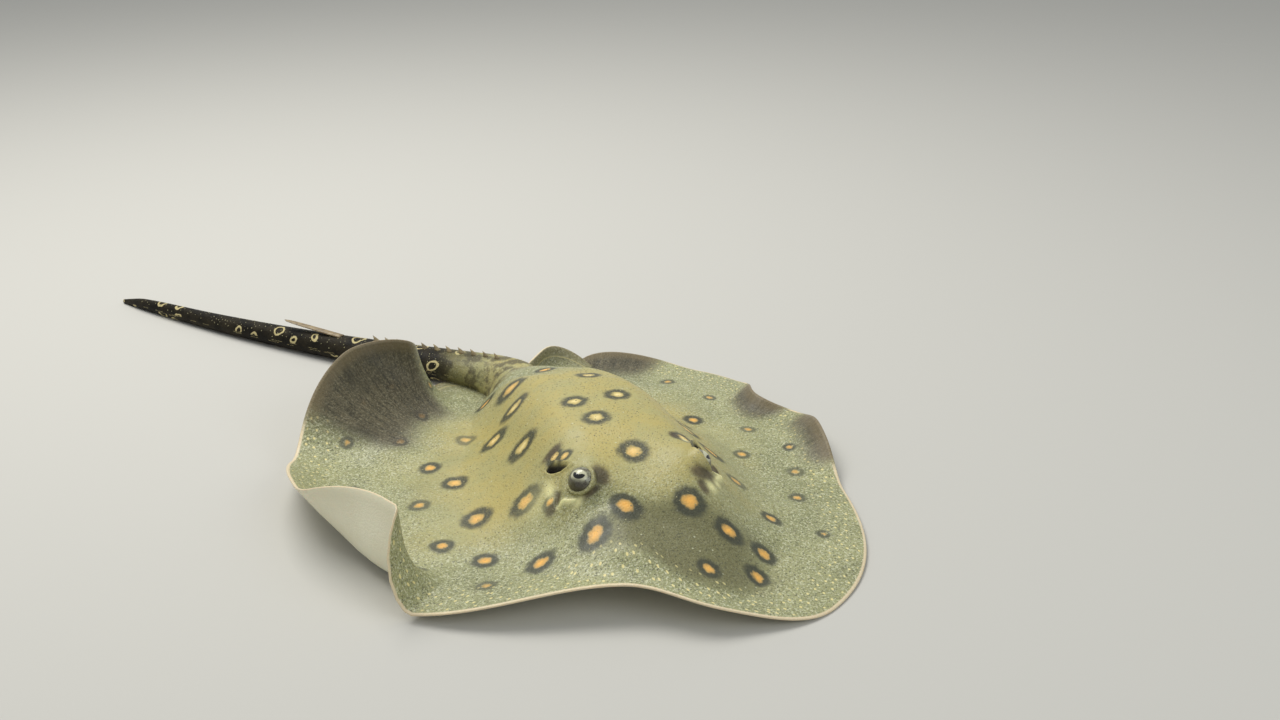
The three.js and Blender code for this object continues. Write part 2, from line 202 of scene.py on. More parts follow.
def along(stations, column, place):
    """A smooth line through one column of the stations, read at each place along the first column."""
    table = np.array(stations, float)
    keys = table[:, 0]
    values = table[:, column]
    last = len(keys) - 1
    before = np.maximum(np.arange(last + 1) - 1, 0)
    after = np.minimum(np.arange(last + 1) + 1, last)
    slopes = (values[after] - values[before]) / (keys[after] - keys[before])
    place = np.clip(place, keys[0], keys[-1])
    i = np.clip(np.searchsorted(keys, place, "right") - 1, 0, last - 1)
    span = keys[i + 1] - keys[i]
    t = (place - keys[i]) / span
    start = slopes[i] * span
    end = slopes[i + 1] * span
    curve = values[i] * (2 * t**3 - 3 * t**2 + 1) + start * (t**3 - 2 * t**2 + t)
    return curve + values[i + 1] * (3 * t**2 - 2 * t**3) + end * (t**3 - t**2)


def ripples(x, y, wavelength, count=9, seed=SEED):
    """A soft unevenness between about -1 and 1, made of crossing waves."""
    draw = np.random.RandomState(seed)
    total = np.zeros_like(x)
    for _ in range(count):
        heading = draw.uniform(0, 2 * np.pi)
        length = wavelength * draw.uniform(0.7, 1.5)
        phase = draw.uniform(0, 2 * np.pi)
        total += np.sin(2 * np.pi * (x * np.cos(heading) + y * np.sin(heading)) / length + phase)
    return total / math.sqrt(count)


# ------------------------------------------------------------------ the shape of the disc


def wave_share(wave, angle):
    at, ahead, behind = wave[:3]
    offset = turn_between(angle, at)
    towards_snout = offset * np.sign(at) < 0
    return hump(offset, np.where(towards_snout, ahead, behind))


def root_share(angle):
    """1 across the tail's root, falling to 0 beside it."""
    half = TAIL["root_half_angle"]
    return 1 - ramp(np.abs(turn_between(angle, 180)), half, half + 5)


def flat_radius(angle):
    phi = np.radians(angle)
    reach = np.where(np.cos(phi) > 0, DISC["snout_reach"], DISC["rear_reach"])
    oval = 1 / np.hypot(np.sin(phi) / DISC["half_width"], np.cos(phi) / reach)
    tip = SNOUT_TIP["height"] * bell(turn_between(angle, 0), SNOUT_TIP["half_angle"])
    notch = TAIL_NOTCH["depth"] * np.exp(-((turn_between(angle, 180) / TAIL_NOTCH["half_angle"]) ** 4))
    pull = sum(wave[6] * wave_share(wave, angle) for wave in WAVES.values())
    straight = TAIL["root_y"] / np.maximum(-np.cos(phi), 0.5)
    share = root_share(angle)
    return (oval + tip - notch - pull) * (1 - share) + straight * share


def rim_tilt(shares, s):
    """How steeply the underside rises at share s of the radius, in degrees."""
    tilt = 0
    for share, wave in zip(shares, WAVES.values()):
        t = np.clip((s - wave[4]) / (wave[5] - wave[4]), 0, 1)
        tilt = tilt + wave[3] * share * (t + ease(t)) / 2
    return tilt


def trunk_height(x, y):
    half_width = along(TRUNK_STATIONS, 1, y)
    height = along(TRUNK_STATIONS, 2, y)
    return height / (1 + np.abs(x / half_width) ** TRUNK_SHOULDER_POWER)


def disc_thickness(angle, s, x, y):
    wing = DISC["edge"] + (DISC["root"] - DISC["edge"]) * np.maximum(1 - s * s, 0) ** WING_TAPER
    fade = np.maximum(ease((1 - s) / RIM_FADE), root_share(angle))
    return wing + np.maximum(trunk_height(x, y) - WING_LEVEL, 0) * fade


def sway(x, y):
    core = 1 - ease((np.abs(x) - SWAY["core"]) / SWAY["fade"])
    return SWAY["by"] * ramp(y, SWAY["from"], SWAY["to"]) * core


def bend(x, y, level):
    """Carries flat places on the disc to their bent ones. Level is 0 on the underside, 1 on top."""
    angle = np.degrees(np.arctan2(x, -y))
    radius = flat_radius(angle)
    s = np.clip(np.hypot(x, y) / radius, 0, 1)
    shares = [wave_share(wave, angle) for wave in WAVES.values()]
    reach = np.zeros_like(x)
    height = np.zeros_like(x)
    ds = s / BEND_STEPS
    for step in range(BEND_STEPS):
        slope = np.radians(rim_tilt(shares, ds * (step + 0.5)))
        reach += np.cos(slope) * ds * radius
        height += np.sin(slope) * ds * radius
    slope = np.radians(rim_tilt(shares, s))
    thickness = disc_thickness(angle, s, x, y)
    rounding = np.sin(np.pi * level) * np.minimum(thickness, ROUND_EDGE) / 2
    lift = thickness * level
    out = reach - np.sin(slope) * lift + np.cos(slope) * rounding
    up = height + np.cos(slope) * lift + np.sin(slope) * rounding
    phi = np.radians(angle)
    across = np.sin(phi) * out
    back = -np.cos(phi) * out
    return np.stack([across - sway(across, back), back, up], 1)


# ------------------------------------------------------------------ the shape of the tail

TAIL_RINGS = 230


def tail_route(steps=TAIL_RINGS):
    """The tail's middle line on the floor: x, y and heading at equal steps of its length."""
    place = np.array([-float(sway(0, TAIL["root_y"])), TAIL["root_y"]])
    ds = TAIL["length"] / steps
    route = []
    for i in range(steps + 1):
        gone = i * ds
        turned = 1 - math.exp(-gone / TAIL["turn_length"])
        heading = math.radians(TAIL["turn"] * turned - TAIL["straighten"] * gone / TAIL["length"])
        route.append((place[0], place[1], heading))
        place += (-math.sin(heading) * ds, math.cos(heading) * ds)
    return np.array(route)


ROUTE = tail_route()


def tail_place(share):
    return [np.interp(share, np.linspace(0, 1, len(ROUTE)), ROUTE[:, k]) for k in range(3)]


def tail_ring(share, root):
    """The tail's section at a share of its length. Root holds x and z of the section it grows from."""
    x, y, heading = tail_place(share)
    half_width = float(along(TAIL_STATIONS, 1, share))
    half_height = float(along(TAIL_STATIONS, 2, share)) / 2
    root_half = TAIL_STATIONS[0][2] / 2
    turn = np.arctan2((root[:, 1] - root_half) / root_half, root[:, 0] / TAIL_STATIONS[0][1])
    across = half_width * np.cos(turn)
    up = half_height * (1 + np.sin(turn))
    left = 1 - ease(share / TAIL_BLEND)
    across += left * (root[:, 0] - TAIL_STATIONS[0][1] * np.cos(turn))
    up += left * (root[:, 1] - root_half * (1 + np.sin(turn)))
    ring = np.stack([x + across * math.cos(heading), y + across * math.sin(heading), up], 1)
    return ring, turn


# ------------------------------------------------------------------ the flat pattern of the skin

COLUMNS = 360
UPPER_ROWS = 92
UNDER_ROWS = 46
WALL_LEVELS = (0.2, 0.5, 0.8)
HALF_COLUMNS_BELOW = 0.26
QUARTER_COLUMNS_BELOW = 0.12


def columns_at(s):
    if s < QUARTER_COLUMNS_BELOW:
        return COLUMNS // 4
    if s < HALF_COLUMNS_BELOW:
        return COLUMNS // 2
    return COLUMNS


def band(outer, inner, faces):
    """Faces between two rings, where the inner one has as many points or half as many."""
    n = len(outer)
    if len(inner) == n:
        for j in range(n):
            k = (j + 1) % n
            faces.append((outer[j], outer[k], inner[k], inner[j]))
        return
    half = len(inner)
    for j in range(half):
        k = (j + 1) % half
        a, b, c = outer[2 * j], outer[2 * j + 1], outer[(2 * j + 2) % n]
        faces.append((a, b, inner[j]))
        faces.append((b, inner[k], inner[j]))
        faces.append((b, c, inner[k]))


class Pattern:
    """The skin laid out flat: the level of each point is its z, and the tail's points come after."""

    def __init__(self):
        self.points = []
        self.faces = []

    def ring(self, s, level):
        count = columns_at(s)
        angles = -180 + np.arange(count) * 360 / count
        radius = flat_radius(angles) * s
        start = len(self.points)
        phi = np.radians(angles)
        self.points.extend(zip(np.sin(phi) * radius, -np.cos(phi) * radius, [level] * count))
        return list(range(start, start + count))

    def side(self, rows, level):
        """One side of the disc, from the rim to the middle. Returns the rim's points."""
        rings = [self.ring(1 - i / rows, level) for i in range(rows)]
        for outer, inner in zip(rings, rings[1:]):
            band(outer, inner, self.faces)
        middle = len(self.points)
        self.points.append((0, 0, level))
        last = rings[-1]
        for j, a in enumerate(last):
            self.faces.append((a, last[(j + 1) % len(last)], middle))
        return rings[0]


def root_columns():
    half = round(TAIL["root_half_angle"] * COLUMNS / 360)
    return [j % COLUMNS for j in range(-half, half + 1)]


def skin_pattern():
    """The flat skin, and the loop of points that the tail grows from."""
    pattern = Pattern()
    top = pattern.side(UPPER_ROWS, 1)
    under = pattern.side(UNDER_ROWS, 0)
    walls = [pattern.ring(1, level) for level in WALL_LEVELS]
    root = root_columns()
    stack = [under, *walls, top]
    for low, high in zip(stack, stack[1:]):
        for j in range(COLUMNS):
            k = (j + 1) % COLUMNS
            if not (j in root and k in root):
                pattern.faces.append((low[j], low[k], high[k], high[j]))
    loop = [under[j] for j in root]
    loop += [wall[root[-1]] for wall in walls]
    loop += [top[j] for j in reversed(root)]
    loop += [wall[root[0]] for wall in reversed(walls)]
    return pattern, loop


def near_eyes(x, y, level):
    return level > 0.9 and math.hypot(abs(x) - 43, y + 87) < 28


def near_mouth_and_gills(x, y, level):
    return level < 0.1 and abs(x) < 50 and -144 < y < -16


def near_vent(x, y, level):
    return level < 0.1 and abs(x) < 12 and 102 < y < 134


def refine(bm, near, cuts):
    """Cuts the flat pattern's faces finer where near holds."""
    edges = [e for e in bm.edges if all(near(*v.co) for v in e.verts)]
    bmesh.ops.subdivide_edges(bm, edges=edges, cuts=cuts, use_grid_fill=True)


# ------------------------------------------------------------------ relief


def low_forms(forms, side, y):
    lift = np.zeros_like(y)
    for k, out, wide, at, long in forms.values():
        lift += k * bell(side - out, wide) * bell(y - at, long)
    return lift


def back_relief(x, y):
    """The hollow between the eyes, the nape, the gill arches, the spine and the flanks' grooves."""
    side = np.abs(x)
    lift = low_forms(BACK_FORMS, side, y)
    for k, out, wide, start, end in BACK_LINES.values():
        lift += k * bell(side - out, wide) * ramp(y, start, end)
    return lift


def bar_share(x, y):
    """1 along the pale bar of skin in front of each eye."""
    out = np.abs(x) - EYE["x"] - BAR["out"]
    ahead = y - EYE["y"] + BAR["ahead"]
    along_bar = BAR["across"] * out + BAR["along"] * ahead
    off_bar = BAR["along"] * out - BAR["across"] * ahead
    return bell(off_bar, BAR["half_width"]) * (1 - ramp(np.abs(along_bar), 5, 9))


def brow_relief(x, y):
    """The mound under each eye, the fold, groove and slit beside it and the bar in front."""
    out = np.abs(x) - EYE["x"]
    back = y - EYE["y"]
    lift = BAR["lift"] * bar_share(x, y)
    for k, place, wide, slant, behind, long in BROW_FORMS.values():
        lift += k * bell(out - place + slant * back, wide) * bell(back - behind, long)
    return lift


def spiracle_reach(x, y):
    """Distance from the middle of each spiracle, which curls round behind the eye. 1 at its lip."""
    turn = math.radians(SPIRACLE["turn"])
    across = np.abs(x) - SPIRACLE["x"]
    ahead = y - SPIRACLE["y"]
    u = across * math.cos(turn) + ahead * math.sin(turn)
    v = ahead * math.cos(turn) - across * math.sin(turn) - SPIRACLE["curve"] * u * u
    return np.hypot(u / SPIRACLE["half_width"], v / SPIRACLE["half_length"])


def spiracle_relief(x, y):
    reach = spiracle_reach(x, y)
    pit = SPIRACLE["depth"] * (1 - ramp(reach, 0.4, 1.0))
    lip = SPIRACLE["lip"] * bell(reach - 1.2, 0.24)
    return lip - pit


def set_lids(points, x, upper):
    """Draws the skin over each eyeball, and under it inside the lids."""
    side = np.where(x < 0, -1, 1)
    middle = np.stack([side * EYE["x"], np.full_like(x, EYE["y"]), np.full_like(x, EYE["z"])], 1)
    axis = np.where(side[:, None] > 0, LID_AXES["left"], LID_AXES["right"])
    out = points - middle
    distance = np.linalg.norm(out, axis=1)
    out /= np.maximum(distance, 1e-6)[:, None]
    off = np.degrees(np.arccos(np.clip((out * axis).sum(1), -1, 1)))
    open_share = 1 - ramp(off, LIDS["open_to"], LIDS["closed_from"])
    close = upper & (distance < EYE["radius"] + LID_REACH)
    lid = EYE["radius"] + LIDS["skin"] + LIDS["edge"] * bell(off - LIDS["edge_at"], LIDS["edge_width"])
    covered = np.maximum(distance, lid)
    placed = covered * (1 - open_share) + (EYE["radius"] - LID_DEPTH) * open_share
    points[close] = (middle + out * placed[:, None])[close]


def slit(x, y, middle, half_length, half_width, turn):
    """1 inside a narrow oval, falling to 0 at its edge."""
    turn = math.radians(turn)
    across = (x - middle[0]) * math.cos(turn) + (y - middle[1]) * math.sin(turn)
    ahead = (y - middle[1]) * math.cos(turn) - (x - middle[0]) * math.sin(turn)
    return 1 - ramp(np.hypot(across / half_length, ahead / half_width), 0.35, 1.0)


def gill_share(side, y):
    """1 in the gill slits, which turn a little from the first pair to the last."""
    deepest = np.zeros_like(y)
    for i in range(GILLS["pairs"]):
        share = i / (GILLS["pairs"] - 1)
        middle = [a + (b - a) * share for a, b in zip(GILLS["first"], GILLS["last"])]
        one = slit(side, y, middle, GILLS["half_length"] - share, GILLS["half_width"], -16 + 30 * share)
        deepest = np.maximum(deepest, one)
    return deepest


def underside_openings(x, y):
    """Depth share of the mouth, nostrils, gill slits and vent."""
    side = np.abs(x)
    off_mouth = np.abs(y - MOUTH["y"] + MOUTH["curve"] * x * x)
    mouth_end = MOUTH["half_width"] + MOUTH["corner"]
    mouth = (1 - ramp(side, MOUTH["half_width"], mouth_end)) * (1 - ramp(off_mouth, 0.6, 2.4))
    nostril = 0.9 * slit(side, y, *NOSTRIL.values())
    vent = 0.9 * slit(x, y, *VENT.values(), 0)
    return most((mouth, nostril, 0.7 * gill_share(side, y), vent))


def underside_relief(x, y):
    """The openings and the low forms round them. Up is into the body."""
    side = np.abs(x)
    lift = OPENING_DEPTH * underside_openings(x, y) + low_forms(UNDER_FORMS, side, y)
    jaw = 1 - ramp(side, JAW["half_width"], JAW["half_width"] + JAW["fade"])
    return lift + JAW["lift"] * bell(y - JAW["y"], JAW["half_length"]) * jaw


# ------------------------------------------------------------------ markings

# Ringed spots on the flat disc: x, y, outer radius.
SPOTS = (
    (0.7, -79, 11),
    (-19.8, -130, 11.6),
    (-44.4, -139, 11.4),
    (21.4, -127, 11),
    (-68.8, -68, 10.6),
    (-57.8, -88, 5.6),
    (-46.1, -57.5, 6.2),
    (-41.2, -65, 5.6),
    (-56.4, -14.6, 10.4),
    (-65.7, 29.3, 10),
    (-46.8, 43.6, 10.4),
    (-34.5, 79.4, 11),
    (-17.2, -6.9, 9.6),
    (-11.1, -36.6, 10.2),
    (13.7, -5.6, 9.6),
    (37.6, -70.6, 8.4),
    (-5.2, 85.7, 8.2),
    (-99.8, 3.5, 9.8),
    (-97.6, -51, 11),
    (-103.9, -99, 9.2),
    (-76.3, -127.2, 9.6),
    (17, -175, 7.6),
    (41.1, -144, 9.4),
    (49.1, -171, 8.4),
    (62.1, -150.6, 8.8),
    (-110.6, 33.8, 8.4),
    (-101.9, 113.7, 7.6),
    (-125.6, 79.4, 7),
    (-125.2, -73.8, 8.4),
    (-39.9, 110.7, 7.6),
    (90.6, 47.9, 8),
    (68, -44, 9.6),
    (64, -8, 9.8),
    (70, 22, 9.8),
    (44, 34, 10),
    (36, 70, 10),
    (8, 42, 9.6),
    (22, 104, 8.2),
)
# Soft dark patches round the eyes: x, y, half width, half length.
DARK_PATCHES = (
    (-28, -99, 7, 10),
    (-38, -108, 9, 4.5),
    (-59.5, -94, 3.5, 5),
    (-53.5, -89, 2.4, 5),
    (-46, -52, 7, 4),
    (38, -107, 10, 5.5),
    (34.5, -116, 4, 6),
    (32, -69, 4, 5),
    (53.5, -89, 2.4, 5),
)
# Pale ones, with their strength last.
PALE_PATCHES = (
    (-46, -108.5, 3.4, 3.2, 1),
    (-56, -80, 3, 8, 0.9),
    (-64, -78, 9, 14, 0.3),
    (40.7, -114, 3.2, 3.2, 1),
    (37.3, -75, 2.4, 2.4, 0.9),
    (46.5, -109, 2.6, 2.6, 0.9),
)
# Where the brown and the painted shade of each fold start along the radius.
FOLD_STARTS = {
    "right_rear_curl": 0.52,
    "left_side_fold": 0.8,
    "left_rear_fold": 0.76,
    "left_tail_fold": 0.72,
}
SPOT_GAP = 33
SET_SPOT_TONE = 0.94
EXTRA_SPOT_TONES = (0.62, 0.9)
EXTRA_SPOTS_TRIED = 900
NO_SPOT = 9.0
FAR_FROM_RIM = 100
TAIL_DARK_AT_ROOT = 0.3


def all_spots():
    """The set spots, with smaller ones scattered over the rest of the disc."""
    draw = np.random.RandomState(SEED)
    spots = [tuple(spot) for spot in SPOTS]
    for _ in range(EXTRA_SPOTS_TRIED):
        angle = draw.uniform(-180, 180)
        s = math.sqrt(draw.uniform(0.1, 0.74))
        radius = float(flat_radius(np.array([angle]))[0]) * s
        x = radius * math.sin(math.radians(angle))
        y = -radius * math.cos(math.radians(angle))
        size = draw.uniform(6.6, 9) * (1.12 - 0.4 * s)
        clear_of_eye = math.hypot(abs(x) - EYE["x"], y - EYE["y"]) > 36
        clear_of_face = not (abs(x) < 60 and y < -60)
        apart = all(math.hypot(x - a, y - b) > SPOT_GAP for a, b, _ in spots)
        if clear_of_eye and clear_of_face and apart:
            spots.append((x, y, size))
    return spots


def spot_reach(x, y):
    """Distance to the nearest ringed spot as a share of its radius, and that spot's number."""
    nearest = np.full_like(x, NO_SPOT)
    which = np.zeros_like(x)
    for number, (a, b, size) in enumerate(all_spots()):
        reach = np.hypot(x - a, y - b) / size
        closer = reach < nearest
        nearest[closer] = reach[closer]
        which[closer] = number
    return nearest, which


def fold_share(angle, s):
    """1 on the steep upper faces of the raised folds, which are brown and streaked: partly the skin's
    own colour, partly painted shade on faces turned from the light.
    """
    total = np.zeros_like(angle)
    for name, start in FOLD_STARTS.items():
        share = wave_share(WAVES[name], angle)
        total = np.maximum(total, ramp(share, 0.1, 0.7) * ramp(s, start, min(start + 0.22, 1)))
    return total


def denticle_share(x, y, level):
    """How thickly the small denticles stand: most along the middle of the back."""
    middle = bell(x, 34) * ramp(y, -150, -60)
    whole = 0.25 * (1 - ramp(np.hypot(x, y), 120, 170))
    clear_of_eye = ramp(np.hypot(np.abs(x) - EYE["x"], y - EYE["y"]), 14, 20)
    clear = ramp(spiracle_reach(x, y), 1.1, 1.6) * clear_of_eye
    return np.where(level > 0.99, np.maximum(middle, whole) * clear, 0)


def rim_arc(angle):
    """Length along the flat rim from the tail to each angle, in millimetres."""
    steps = np.linspace(-180, 180, 1441)
    radius = flat_radius(steps)
    phi = np.radians(steps)
    walked = np.hypot(np.diff(np.sin(phi) * radius), np.diff(np.cos(phi) * radius))
    return np.interp(angle, steps, np.concatenate([[0], np.cumsum(walked)]))


# ------------------------------------------------------------------ making meshes


def mesh_object(name, points, faces):
    """A mesh object from places in millimetres."""
    mesh = bpy.data.meshes.new(name)
    mesh.from_pydata([tuple(c * MM for c in p) for p in points], [], [tuple(f) for f in faces])
    piece = bpy.data.objects.new(name, mesh)
    bpy.context.scene.collection.objects.link(piece)
    return piece


def face_outwards(piece):
    bm = bmesh.new()
    bm.from_mesh(piece.data)
    bmesh.ops.recalc_face_normals(bm, faces=bm.faces)
    bm.to_mesh(piece.data)
    bm.free()
    for face in piece.data.polygons:
        face.use_smooth = True


def places(mesh):
    """The mesh's points in millimetres."""
    flat = np.zeros(len(mesh.vertices) * 3, np.float32)
    mesh.vertices.foreach_get("co", flat)
    return flat.reshape(-1, 3).astype(float) / MM


def write(mesh, name, values):
    """Puts one number, or three, on each point of the mesh for the materials to read."""
    values = np.asarray(values, np.float32)
    kind = "FLOAT" if values.ndim == 1 else "FLOAT_VECTOR"
    field = "value" if values.ndim == 1 else "vector"
    layer = mesh.attributes.get(name) or mesh.attributes.new(name, kind, "POINT")
    layer.data.foreach_set(field, values.ravel())


def read(mesh, name):
    layer = mesh.attributes[name]
    wide = layer.data_type == "FLOAT_VECTOR"
    values = np.zeros(len(mesh.vertices) * (3 if wide else 1), np.float32)
    layer.data.foreach_get("vector" if wide else "value", values)
    return values.reshape(-1, 3) if wide else values


def evaluated_mesh(piece):
    """The piece's mesh with its modifiers applied."""
    depsgraph = bpy.context.evaluated_depsgraph_get()
    return bpy.data.meshes.new_from_object(piece.evaluated_get(depsgraph), depsgraph=depsgraph)


def shaped_disc(flat):
    """The bent disc with its relief, from the flat pattern's points."""
    x, y, level = flat.T
    upper = level > 0.99
    under = level < 0.01
    angle = np.degrees(np.arctan2(x, -y))
    s = np.hypot(x, y) / flat_radius(angle)
    points = bend(x, y, level)
    middle_share = 1 - ramp(s, 0.72, 0.95)
    lift = (back_relief(x, y) + brow_relief(x, y) + spiracle_relief(x, y)) * middle_share
    lift += 0.55 * ripples(x, y, 52) * ramp(np.hypot(x, y), 20, 60) * middle_share
    points[:, 2] += np.where(upper, lift, 0)
    points[:, 2] += np.where(under, underside_relief(x, y), 0)
    set_lids(points, x, upper)
    return points


def oval(x, y, across, ahead, wide, long):
    return bell(np.hypot((x - across) / wide, (y - ahead) / long), 1)


def spot_tones():
    """How strong each ringed spot is."""
    count = len(all_spots())
    extra = np.random.RandomState(SEED + 1).uniform(*EXTRA_SPOT_TONES, count)
    return np.where(np.arange(count) < len(SPOTS), SET_SPOT_TONE, extra)


def plain_fields(n):
    """What the skin's material reads where the skin holds no marks."""
    numbers = ("fold", "tail", "denticle", "cavity", "eye_patch", "front", "pale_skin")
    fields = {name: np.zeros(n) for name in numbers}
    return fields | {
        "spot": np.full(n, NO_SPOT),
        "spot_tone": np.ones(n),
        "upper": np.ones(n),
        "outer": np.full(n, 0.5),
        "rim_place": np.tile((0, FAR_FROM_RIM * MM, 0), (n, 1)),
        "tail_place": np.zeros((n, 3)),
    }


def disc_fields(flat):
    x, y, level = flat.T
    angle = np.degrees(np.arctan2(x, -y))
    radius = flat_radius(angle)
    s = np.clip(np.hypot(x, y) / radius, 0, 1)
    reach, number = spot_reach(x, y)
    depth = (1 - s) * radius + FAR_FROM_RIM * root_share(angle)
    root = root_share(angle) * ramp(s, 0.62, 1.0)
    on_top = level > 0.5
    # Painted shade inside the spiracle pits.
    pit = (1 - ramp(spiracle_reach(x, y), 0.62, 1.12)) * on_top
    pale = most(k * oval(x, y, *place) for *place, k in PALE_PATCHES)
    return plain_fields(len(x)) | {
        "spot": reach,
        "spot_tone": spot_tones()[number.astype(int)],
        "upper": np.clip(level, 0, 1),
        "outer": s * (1 - 0.5 * root),
        "fold": fold_share(angle, s),
        "tail": TAIL_DARK_AT_ROOT * root,
        "denticle": denticle_share(x, y, level),
        "cavity": np.maximum(pit, underside_openings(x, y) * (level < 0.5)),
        "eye_patch": most(oval(x, y, *place) for place in DARK_PATCHES) * on_top,
        # Where the slope in front of the eyes gets a painted shade and fewer pale grains.
        "front": bell(x - 5, 62) * (1 - ramp(y, -150, -100)) * (1 - ramp(s, 0.82, 0.97)),
        "pale_skin": np.maximum(bar_share(x, y), pale) * on_top,
        "rim_place": np.stack([rim_arc(angle), depth, np.zeros_like(x)], 1) * MM,
    }


def tail_fields(shares, turns, levels):
    n = len(shares)
    round_it = turns * along(TAIL_STATIONS, 1, shares)
    dark = TAIL_DARK_AT_ROOT
    return plain_fields(n) | {
        "upper": np.clip(levels + ramp(shares, 0.02, 0.4), 0, 1),
        "tail": dark + (1 - dark) * ramp(shares, 0.04, 0.32),
        "denticle": ramp(np.sin(turns), 0.1, 0.8),
        "tail_place": np.stack([shares * TAIL["length"], round_it, np.zeros(n)], 1) * MM,
    }


def flat_skin():
    """The flat pattern as a mesh, finer round small forms, and the loop at the tail's root."""
    pattern, loop = skin_pattern()
    bm = bmesh.new()
    order = bm.verts.layers.int.new("root_order")
    verts = [bm.verts.new(p) for p in pattern.points]
    for face in pattern.faces:
        bm.faces.new([verts[i] for i in face])
    for number, i in enumerate(loop, 1):
        verts[i][order] = number
    bmesh.ops.delete(bm, geom=[v for v in bm.verts if not v.link_faces], context="VERTS")
    refine(bm, near_eyes, 3)
    refine(bm, near_mouth_and_gills, 2)
    refine(bm, near_vent, 2)
    bm.verts.index_update()
    loop = [v.index for v in sorted((v for v in bm.verts if v[order]), key=lambda v: v[order])]
    bm.verts.layers.int.remove(order)
    bm.verts.ensure_lookup_table()
    return bm, loop


def disc_and_tail():
    bm, loop = flat_skin()
    flat = np.array([v.co for v in bm.verts], float)
    points = shaped_disc(flat)
    for vert, place in zip(bm.verts, points):
        vert.co = place * MM
    root = points[loop][:, [0, 2]] - (ROUTE[0, 0], 0)
    shares, turns = grow_tail(bm, [bm.verts[i] for i in loop], root)
    levels = np.tile(flat[loop][:, 2], TAIL_RINGS)
    bmesh.ops.recalc_face_normals(bm, faces=bm.faces)
    mesh = bpy.data.meshes.new("ray_skin")
    bm.to_mesh(mesh)
    bm.free()
    on_tail = tail_fields(shares, turns, levels)
    for name, values in disc_fields(flat).items():
        write(mesh, name, np.concatenate([values, on_tail[name]]))
    write(mesh, "known", np.ones(len(mesh.vertices)))
    skin = bpy.data.objects.new("ray_skin", mesh)
    bpy.context.scene.collection.objects.link(skin)
    return skin


def grow_tail(bm, loop, root):
    """Rings from the loop at the tail's root to its tip. Returns the new points' shares and turns."""
    ring = loop
    shares = []
    turns = []
    for i in range(1, TAIL_RINGS + 1):
        share = i / TAIL_RINGS
        ring_places, turn = tail_ring(share, root)
        after = [bm.verts.new(p * MM) for p in ring_places]
        faces = []
        band(ring, after, faces)
        for face in faces:
            bm.faces.new(face)
        shares += [share] * len(after)
        turns += list(turn)
        ring = after
    bm.faces.new(ring)
    return np.array(shares), np.array(turns)


FIN_COLUMNS, FIN_ROWS = 72, 14


def fin_sides(half_length, half_width, lift, crest):
    """Rings over the underside of a bent oval plate, from its middle out, and over its top."""
    angles = -180 + np.arange(FIN_COLUMNS) * 360 / FIN_COLUMNS
    phi = np.radians(angles)
    radius = 1 / np.hypot(np.sin(phi) / half_width, np.cos(phi) / half_length)
    raised = lift * hump(turn_between(angles, 180 + crest), FIN["lift_half_angle"])
    out = np.stack([np.sin(phi), -np.cos(phi)], 1)
    reach = np.zeros(FIN_COLUMNS)
    height = np.zeros(FIN_COLUMNS)
    under = []
    top = []
    for row in range(1, FIN_ROWS + 1):
        s = row / FIN_ROWS
        slope = np.radians(raised * ramp(s - 0.5 / FIN_ROWS, FIN["lift_from"], 1))
        reach = reach + np.cos(slope) * radius / FIN_ROWS
        height = height + np.sin(slope) * radius / FIN_ROWS
        thickness = FIN["edge"] + (FIN["middle"] - FIN["edge"]) * (1 - s * s)
        low = np.column_stack([out * reach[:, None], height])
        normal = np.column_stack([out * -np.sin(slope)[:, None], np.cos(slope)])
        under.append(low)
        top.append(low + normal * thickness)
    return under, top


def tube_faces(rings, columns):
    """Faces between rings of points that come one after the other."""
    faces = []
    for i in range(rings - 1):
        first = i * columns
        band(range(first, first + columns), range(first + columns, first + 2 * columns), faces)
    return faces


def plate_faces(rings, columns):
    """Faces over rings of points from one middle to the other. The two middles come last."""
    faces = tube_faces(rings, columns)
    end = rings * columns
    for start, middle in ((0, end), (end - columns, end + 1)):
        for j in range(columns):
            faces.append((start + j, start + (j + 1) % columns, middle))
    return faces


def turned(points, angle, place):
    """The points turned about the upright axis by an angle in degrees, and moved to a place."""
    angle = math.radians(angle)
    x, y, z = points.T
    across = x * math.cos(angle) - y * math.sin(angle)
    ahead = x * math.sin(angle) + y * math.cos(angle)
    return np.stack([across, ahead, z], 1) + place


def pelvic_fin(name, x, y, z, half_length, half_width, turn, lift, crest):
    """A bent oval plate, thick in the middle, whose hind edge is raised."""
    under, top = fin_sides(half_length, half_width, lift, crest)
    rings = under + top[::-1]
    points = np.concatenate([*rings, [[0, 0, 0]], [[0, 0, FIN["middle"]]]])
    fin = mesh_object(name, turned(points, -turn, (x, y, z)), plate_faces(len(rings), FIN_COLUMNS))
    face_outwards(fin)
    inward = 1 - np.arange(1, FIN_ROWS + 1) / FIN_ROWS
    depth = np.append(np.repeat(np.append(inward, inward[::-1]), FIN_COLUMNS), (0, 0))
    side = FIN_ROWS * FIN_COLUMNS
    upper = np.concatenate([np.zeros(side), np.ones(side), (0, 1)])
    n = len(points)
    fields = plain_fields(n) | {
        "upper": upper,
        "outer": np.full(n, 0.8),
        # Fold colouring towards the fin's edge: partly brown skin, partly painted shade.
        "fold": 0.55 * (1 - depth) * upper,
        "rim_place": np.stack([np.zeros(n), depth * half_length, np.zeros(n)], 1) * MM,
        "known": np.ones(n),
    }
    for name, values in fields.items():
        write(fin.data, name, values)
    return fin


def join_closed(piece, other):
    """Unites two closed meshes into one closed mesh, and drops the other piece."""
    union = piece.modifiers.new("union", "BOOLEAN")
    union.operation = "UNION"
    union.solver = "MANIFOLD"
    union.object = other
    mesh = evaluated_mesh(piece)
    piece.modifiers.remove(union)
    piece.data = mesh
    bpy.data.objects.remove(other)


